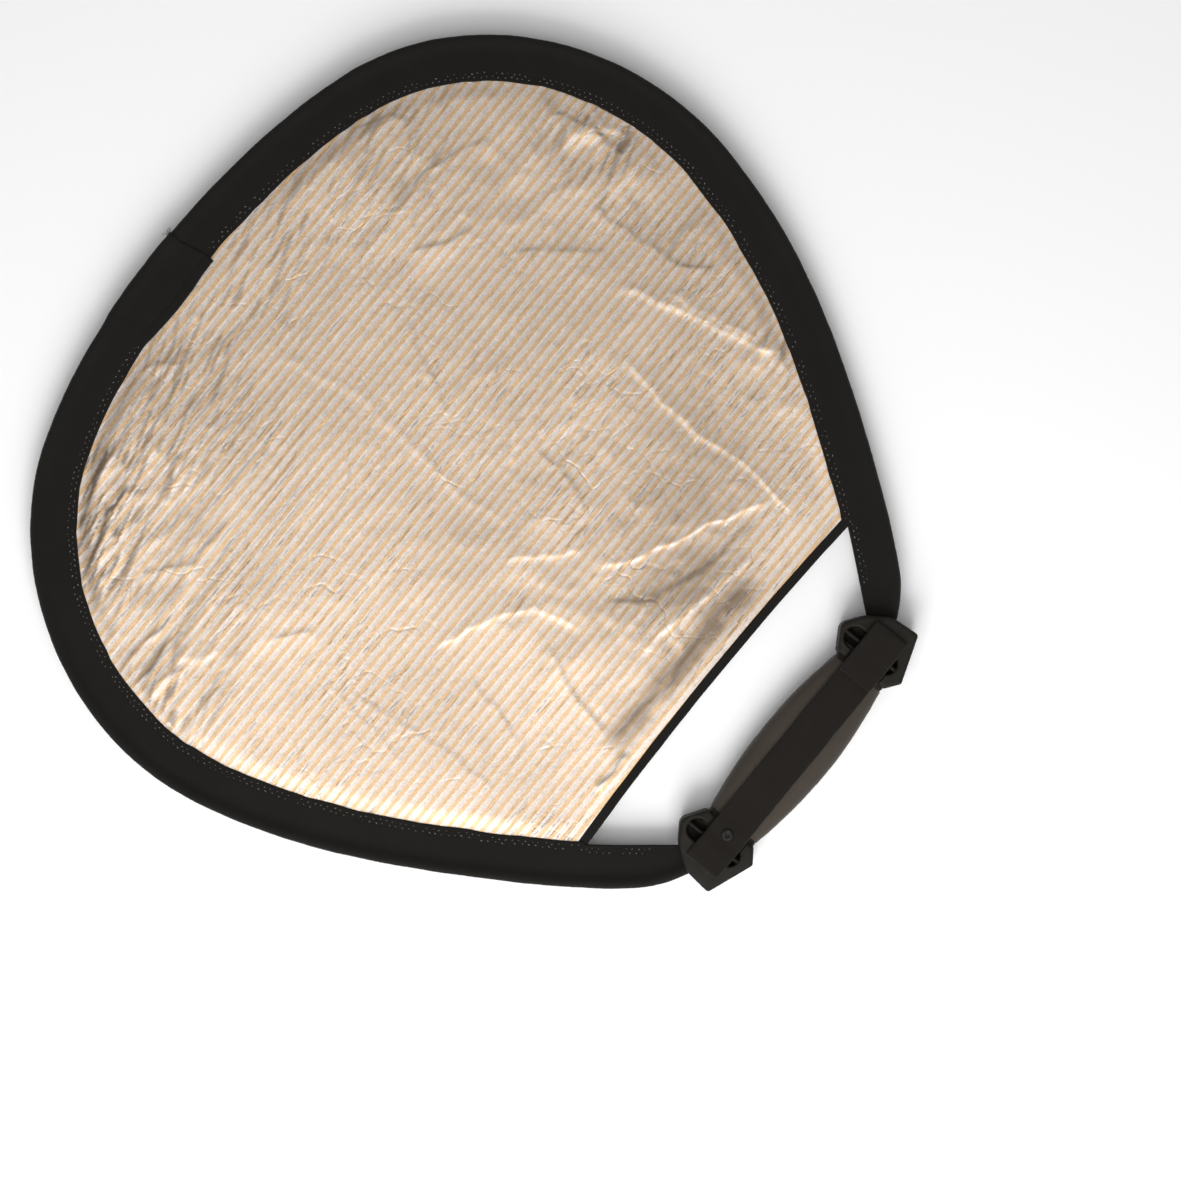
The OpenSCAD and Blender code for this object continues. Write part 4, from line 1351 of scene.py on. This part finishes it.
def cap_shell(rear):
    """One half of a cap, as two closed shells: the flange with its strap relief, and the neck."""
    flange, neck = loose_object("flange", cap_mesh()), loose_object("neck", neck_mesh())
    cut_away(flange, block("relief", (NECK_X[0] + 2, -STRAP_W / 2 - 1, RELIEF_Z),
                           (CORNER_IN + 1.6, STRAP_W / 2 + 1, 14)))
    if rear:
        for part in (flange, neck):
            for side in (-1, 1):
                cut_away(part, rod("recess", (SCREW_X, side * SCREW_Y), SCREW_HEAD_R + 0.1,
                                   7.75, 12))
    found = []
    for part in (flange, neck):
        data = part.data
        co = np.zeros(len(data.vertices) * 3)
        data.vertices.foreach_get("co", co)
        worn = np.zeros(len(data.vertices))
        layer = data.attributes.get("wear")
        if layer:
            layer.data.foreach_get("value", worn)
        found.append((co.reshape(-1, 3), [tuple(f.vertices) for f in data.polygons], worn))
        bpy.data.objects.remove(part)
    (flange_co, flange_faces, flange_worn), (neck_co, neck_faces, neck_worn) = found
    first = len(flange_co)
    return (np.concatenate([flange_co, neck_co]),
            flange_faces + [tuple(first + k for k in f) for f in neck_faces],
            np.concatenate([flange_worn, neck_worn]))


def make_caps():
    """The four half caps: one shell for each face, mirrored to the other side."""
    shells = {"front": cap_shell(False), "rear": cap_shell(True)}
    for side, x_sign in (("right", 1), ("left", -1)):
        for face, z_sign in (("front", 1), ("rear", -1)):
            co, faces, worn = shells[face]
            co = co * [x_sign, 1, z_sign]
            run = np.stack([co[:, 0], co[:, 1], worn], axis=1)
            piece(f"{side}_cap_{face}_shell", co, faces, PLASTIC, [f"{side}_cap_{face}"],
                  run=run, sharp_angle=38)


# ---------------------------------------------------------------- grip

GRIP_HALF = 51.5


def bow(x, mid, end):
    """Height at x of an arc that is mid high in the grip's middle and end high at its ends."""
    drop = mid - end
    r = (GRIP_HALF ** 2 + drop ** 2) / (2 * drop)
    return mid - r + np.sqrt(r * r - x * x)


def face_z(x):
    """Height of the grip's face under the strap."""
    return bow(x, 11.0, 9.2)


def make_grip():
    """Padded sleeve between the caps, bowed outward in the middle."""
    xs = np.concatenate([[-GRIP_HALF], np.linspace(-GRIP_HALF + 0.35, GRIP_HALF - 0.35, 118),
                         [GRIP_HALF]])
    around = 96
    angles = np.linspace(0, 2 * np.pi, around, endpoint=False)
    power = 2.7
    rings = []
    for i, x in enumerate(xs):
        wide, high = bow(x, 20.5, 15.4), bow(x, 11.0, 9.15)
        if i in (0, len(xs) - 1):
            wide, high = wide - 0.5, high - 0.5
        c, s = np.cos(angles), np.sin(angles)
        y = wide * np.sign(c) * np.abs(c) ** (2 / power)
        z = high * np.sign(s) * np.abs(s) ** (2 / power)
        # the straps press the foam flat, and it swells a little beside them
        press = smooth((STRAP_W / 2 + 1.4 - np.abs(y)) / 1.6)
        z = np.sign(z) * (np.abs(z) - 0.12 * press)
        swell = 0.22 * noise(angles * 4, np.full(around, x), 6, 43)
        swell = swell + 0.10 * noise(angles * 9, np.full(around, x), 2.2, 44)
        y = y + swell * c * 0.8
        z = z + swell * s * 0.5 * (1 - press)
        rings.append(np.stack([np.full(around, x), y, z], axis=1))
    verts = np.concatenate(rings)
    obj = piece("grip_foam_sleeve", verts, tube_faces(len(xs), around), FOAM,
                ["grip_sleeve"])


# ---------------------------------------------------------------- straps

PLY = STRAP_T / 2 + 0.1
BAR_R = 1.5
BAR_Z = CAP_H - 0.3 - BAR_R
LOOP_R = BAR_R + 0.1 + STRAP_T / 2
FACE_PLY = CAP_H + PLY
NECK_TOP = 9.2
FOLD_X = 77.6
TAB_Z = 12.0
TAB_END = 47.0
RIVET_X = -57.4


def arc(cx, cz, r, start, end, n):
    """n + 1 points along an arc, angles in degrees."""
    return [(cx + r * math.cos(math.radians(start + (end - start) * i / n)),
             cz + r * math.sin(math.radians(start + (end - start) * i / n))) for i in range(n + 1)]


def curve_through(points, step):
    """A smooth line through points, resampled evenly (centripetal spline)."""
    p = np.array(points, float)
    p = np.concatenate([[2 * p[0] - p[1]], p, [2 * p[-1] - p[-2]]])
    dense = []
    for i in range(1, len(p) - 2):
        knots = [0.0]
        for k in range(3):
            knots.append(knots[-1] + max(np.linalg.norm(p[i + k] - p[i + k - 1]), 1e-6) ** 0.5)
        for t in np.linspace(knots[1], knots[2], 10, endpoint=False):
            q = [p[i - 1 + k] for k in range(4)]
            for level in (1, 2, 3):
                q = [((knots[k + level] - t) * q[k] + (t - knots[k]) * q[k + 1])
                     / (knots[k + level] - knots[k]) for k in range(4 - level)]
            dense.append(q[0])
    dense.append(p[-2])
    dense = np.array(dense)
    length = np.sum(np.linalg.norm(np.diff(dense, axis=0), axis=1))
    return resample(dense, max(8, int(length / step)))


def webbing(name, line, nodes, body, face, seed, round_end=False):
    """A webbing ribbon along a line in X and Z, with rounded selvedges and sealed ends."""
    way = np.gradient(line, axis=0)
    way = way / np.linalg.norm(way, axis=1)[:, None]
    normal = np.stack([-way[:, 1], way[:, 0]], axis=1)
    steps = np.concatenate([[0], np.cumsum(np.linalg.norm(np.diff(line, axis=0), axis=1))])
    half, t = STRAP_W / 2, STRAP_T / 2
    across = np.array([-1.0, -0.985, -0.95, -0.88, -0.7, -0.4, -0.1, 0.2, 0.5, 0.75, 0.9, 0.96,
                       0.99, 1.0])
    thick = t * np.array([0.0, 0.66, 0.95, 1.04, 1, 1, 1, 1, 1, 1, 1.04, 0.93, 0.6, 0.0])
    loop_w = np.concatenate([across, across[-2:0:-1]])
    loop_t = np.concatenate([thick, -thick[-2:0:-1]])
    m = len(loop_w)
    n = len(line)
    ss = np.repeat(steps[:, None], m, axis=1)
    wave = 0.22 * noise(ss, ss * 0, 16, seed) + 0.1 * noise(ss, ss * 0, 5, seed + 1)
    edge = loop_w[None] * (half + 0.12 * noise(ss, loop_w[None] * 3 + 0 * ss, 2.2, seed + 2))
    y = edge + wave * 0.6
    ripple = 0.06 * noise(ss, edge, 4, seed + 3) + 0.05 * noise(ss, edge, 1.4, seed + 4)
    rise = loop_t[None] + ripple * np.sign(loop_t)[None]
    pinch = np.ones(n)
    pinch[0] = pinch[-1] = 0.55
    rise = rise * pinch[:, None]
    if round_end:
        from_end = steps[-1] - ss
        y = y * np.where(from_end < 2.5, 1 - 0.09 * (1 - from_end / 2.5) ** 2, 1.0)
    x = line[:, 0][:, None] + normal[:, 0][:, None] * rise
    z = line[:, 1][:, None] + normal[:, 1][:, None] * rise
    verts = np.stack([x * face, y, z * face], axis=2).reshape(-1, 3)
    worn = smooth((np.abs(loop_w) - 0.9) / 0.1) * 0.5
    run = np.stack([ss, edge + 40 * (loop_t[None] < 0), np.repeat(worn[None], n, axis=0)], axis=2)
    return piece(name, verts, tube_faces(n, m), WEBBING, nodes, body=body,
                 run=run.reshape(-1, 3))


def strap_line():
    """The strap's path: from its riveted end through both caps' windows to the tab's fold."""
    grip_run = [(x, face_z(x) + PLY + 0.1) for x in np.arange(-38, 50, 12.5)]
    return ([(-52.2, NECK_TOP + PLY)]
            + arc(-CORNER_IN, NECK_TOP, PLY + 0.05, 90, 140, 3)
            + arc(-WINDOW[0], BAR_Z, LOOP_R, -50, -130, 5)
            + arc(-CORNER_OUT, CAP_H, PLY + 0.05, 40, 90, 3)
            + arc(-FOLD_X, FACE_PLY + PLY, PLY, -90, -270, 6)
            + [(-71, FACE_PLY + 2 * PLY + 0.1), (-66, FACE_PLY + 2 * PLY),
               (RIVET_X - 4.1, NECK_TOP + 3.05 * PLY), (RIVET_X + 3.5, NECK_TOP + 3.05 * PLY),
               (-50, NECK_TOP + 2.6 * PLY)]
            + grip_run
            + arc(CORNER_IN, NECK_TOP, PLY + 0.05, 90, 40, 3)
            + arc(WINDOW[0], BAR_Z, LOOP_R, -130, -50, 5)
            + arc(CORNER_OUT, CAP_H, PLY + 0.05, 140, 90, 3)
            + [(FOLD_X - 1.2, FACE_PLY)])


def tab_line():
    """The tab's path: from the strap's end round the fold and back over the strap."""
    middle_z = (FACE_PLY + TAB_Z + STRAP_T / 2) / 2
    r = TAB_Z + STRAP_T / 2 - middle_z
    line = [(FOLD_X - 1.2, FACE_PLY)] + arc(FOLD_X, middle_z, r, -90, 90, 8)
    return line + [(70, TAB_Z + STRAP_T / 2 + 0.05), (58, TAB_Z + STRAP_T / 2),
                   (TAB_END + 0.2, TAB_Z + STRAP_T / 2 - 0.1)]


def make_straps():
    """Strap and hinged tab on each face, with the rivet and the hook and loop pads."""
    for face, side in ((1, "front"), (-1, "rear")):
        webbing(f"{side}_strap_webbing", curve_through(strap_line(), 0.55), [f"{side}_strap"],
                "reflector", face, 60 + 10 * face)
        tab = webbing(f"{side}_tab_webbing", curve_through(tab_line(), 0.4), [f"{side}_tab"],
                      None, face, 160 + 10 * face, round_end=True)
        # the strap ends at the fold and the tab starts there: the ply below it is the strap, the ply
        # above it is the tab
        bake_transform(tab)
        make_rivet(side, face)
        make_pads(side, face)


def make_rivet(side, face):
    """Tubular rivet through both plies, with a domed head and a dimple."""
    base = NECK_TOP + 3.05 * PLY + STRAP_T / 2
    profile = [(0.0, 0.42), (0.45, 0.42), (0.85, 0.36), (1.05, 0.5), (1.35, 0.78), (1.8, 0.92),
               (2.4, 0.90), (2.95, 0.72), (3.3, 0.42), (3.45, 0.12), (3.42, -0.05), (3.1, -0.12),
               (1.0, -0.12), (1.0, -3.0), (0.0, -3.0)]
    around = 48
    verts, run = [], []
    for r, z in profile:
        for j in range(around):
            a = 2 * math.pi * j / around
            verts.append((face * (RIVET_X + max(r, 0.01) * math.cos(a)),
                          max(r, 0.01) * math.sin(a), face * (base + z)))
            run.append((r, a, 1.0 if 1.0 < r < 2.6 and z > 0.4 else 0.1))
    piece(f"{side}_rivet_head", np.array(verts), tube_faces(len(profile), around), RIVET,
          [f"{side}_strap_rivet"], run=np.array(run), sharp_angle=50)


UPPER_PLY_FROM = 20      # strap_line's points from here on lie on the upper ply


def make_pads(side, face):
    """Hook pad under the tab and loop pad on the strap."""
    x0, x1 = TAB_END + 0.7, TAB_END + 10.3
    half = STRAP_W / 2 - 0.9
    # rings of one hook: radius, distance down from the pad, shift to the side
    hook = [(0.20, 0.0, 0), (0.15, 0.16, 0.02), (0.13, 0.24, 0.10), (0.08, 0.22, 0.26)]
    pitch = 0.95
    rng = np.random.default_rng(7 + face)
    verts, faces = rounded_plate(x0, x1, half, TAB_Z - 0.16, TAB_Z - 0.02)
    for x in np.arange(x0 + 0.7, x1 - 0.3, pitch):
        for y in np.arange(-half + 0.7, half - 0.3, pitch):
            first = len(verts)
            lean = rng.uniform(-0.12, 0.12)
            for r, drop, shift in hook:
                for j in range(6):
                    a = math.pi * j / 3
                    verts.append((x + r * math.cos(a) + shift, y + r * math.sin(a) + lean * drop,
                                  TAB_Z - 0.15 - drop))
            faces += tube_faces(4, 6, first)
    flip = np.array([face, 1, face])
    piece(f"{side}_hook_field", np.array(verts) * flip, faces, HOOKS,
          [f"{side}_hook_pad"], body=f"{side}_tab_body")
    rows, cols = 60, 110
    xs = np.linspace(x0, x1, rows)
    ys = np.linspace(-half, half, cols)
    gx, gy = np.meshgrid(xs, ys, indexing="ij")
    line = curve_through(strap_line()[UPPER_PLY_FROM:], 0.5)
    order = np.argsort(line[:, 0])
    strap_z = np.interp(gx, line[order, 0], line[order, 1])
    border = smooth(np.minimum(np.minimum(gx - x0, x1 - gx), half - np.abs(gy)) / 0.4)
    pile = 0.16 + 0.10 * noise(gx, gy, 0.55, 15) + 0.07 * noise(gx, gy, 1.3, 16)
    top = strap_z + STRAP_T / 2 + 0.03 + border * pile
    base = strap_z + STRAP_T / 2 - 0.05
    outer = np.stack([gx, gy, top], axis=2).reshape(-1, 3)
    inner = np.stack([gx, gy, base], axis=2).reshape(-1, 3)
    run = np.stack([gx.ravel(), gy.ravel(), gx.ravel() * 0], axis=1)
    piece(f"{side}_loop_pile", np.concatenate([outer, inner]) * flip, slab_faces(rows, cols),
          LOOPS, [f"{side}_loop_pad"], run=np.concatenate([run, run]))


def rounded_plate(x0, x1, half, z0, z1):
    """A thin plate with rounded corners between two heights."""
    corners = [(x0, -half, 0.8), (x1, -half, 0.8), (x1, half, 0.8), (x0, half, 0.8)]
    loop = rounded_loop(corners, 64)
    rings = [(0.06, z0), (0.0, z0 + 0.03), (0.0, z1 - 0.03), (0.06, z1)]
    normals = inward_normals(loop)
    verts = [(p[0] + n[0] * o, p[1] + n[1] * o, z) for o, z in rings for p, n in zip(loop, normals)]
    return verts, tube_faces(len(rings), len(loop))


# ---------------------------------------------------------------- kept CAD nodes


def dress_frame():
    """Gives the nodes that keep their CAD shape their own materials."""
    looks = {"band_ferrules": FITTING, "ferrule_rivets": FITTING, "grip_core": CORE,
             "core_screws": FITTING, "strap_bars": BLACKED}
    for node, material in looks.items():
        materials = frame["nodes"][node].data.materials
        materials.clear()
        materials.append(material)


# ---------------------------------------------------------------- studio

VIEW_TURN = -50.67       # degrees the camera is turned about the vertical
VIEW_WIDTH = 622.4       # width of the view on the middle plane
VIEW_CENTRE = (-3.8, 136.5)
KEY_WAY = (-0.78, -0.62, 0.0)            # where the main light stands, seen from the disc
LENS, SENSOR = 100.0, 36.0
FLOOR_HALF, FLOOR_Z = 6.0, -0.0004       # in metres; just below the frame's zero
SKY_STRENGTH = 0.36


def toward(obj, target):
    """Turns an object's -Z way towards a point."""
    way = Vector(target) - obj.location
    obj.rotation_euler = way.to_track_quat("-Z", "Y").to_euler()


def soft_light(name, place, size, radiance, target=(0, 0, 0)):
    """A square soft light; radiance is how bright its face is."""
    data = bpy.data.lights.new(name, "AREA")
    data.shape = "SQUARE"
    data.size = size
    data.energy = radiance * math.pi * size * size
    obj = bpy.data.objects.new(name, data)
    obj.location = place
    bpy.context.scene.collection.objects.link(obj)
    toward(obj, target)
    return obj


def make_studio():
    """Pale floor, soft lights, and a camera straight above the disc."""
    scene = bpy.context.scene
    scene.view_settings.view_transform = "Standard"
    floor_mesh = bpy.data.meshes.new("studio_floor")
    half, z = FLOOR_HALF, FLOOR_Z
    floor_mesh.from_pydata([(-half, -half, z), (half, -half, z), (half, half, z),
                            (-half, half, z)], [], [(0, 1, 2, 3)])
    floor = bpy.data.objects.new("studio_floor", floor_mesh)
    scene.collection.objects.link(floor)
    s = Shader("studio_paper", Roughness=0.9)
    s.base(s.mix(s.noise(s.place(), 300, 2.0), (0.955, 0.955, 0.955), (0.97, 0.97, 0.97)))
    floor.data.materials.append(s.material)
    sky = bpy.data.worlds.new("studio_air")
    scene.world = sky
    sky.use_nodes = True
    background = sky.node_tree.nodes["Background"]
    background.inputs[0].default_value = (1.0, 1.0, 1.0, 1)
    background.inputs[1].default_value = SKY_STRENGTH
    key = Vector(KEY_WAY)
    soft_light("key", key * 1.1 + Vector((0, 0, 0.95)), 0.9, 6.2, (0, 0.02, 0))
    soft_light("overhead", key * 0.72 + Vector((0, 0, 1.75)), 1.4, 2.1)
    soft_light("rim", -key * 1.5 + Vector((0, 0, 0.6)), 0.7, 0.8)
    camera = bpy.data.cameras.new("camera")
    camera.lens, camera.sensor_width = LENS, SENSOR
    view = bpy.data.objects.new("camera", camera)
    scene.collection.objects.link(view)
    scene.camera = view
    target = world([*VIEW_CENTRE, 0])
    view.location = (target[0], target[1], target[2] + VIEW_WIDTH * MM * LENS / SENSOR)
    view.rotation_euler = (0, 0, math.radians(VIEW_TURN))


# ---------------------------------------------------------------- build

make_studio()
make_binding()
make_lap()
make_fray()
make_band()
make_stitches()
make_panel("front_panel_cloth", "front_panel", 1, GOLD, 385, 225)
make_panel("rear_panel_cloth", "rear_panel", -1, SILVER, 461, 190)
make_tape()
make_label()
make_caps()
make_grip()
make_straps()
dress_frame()
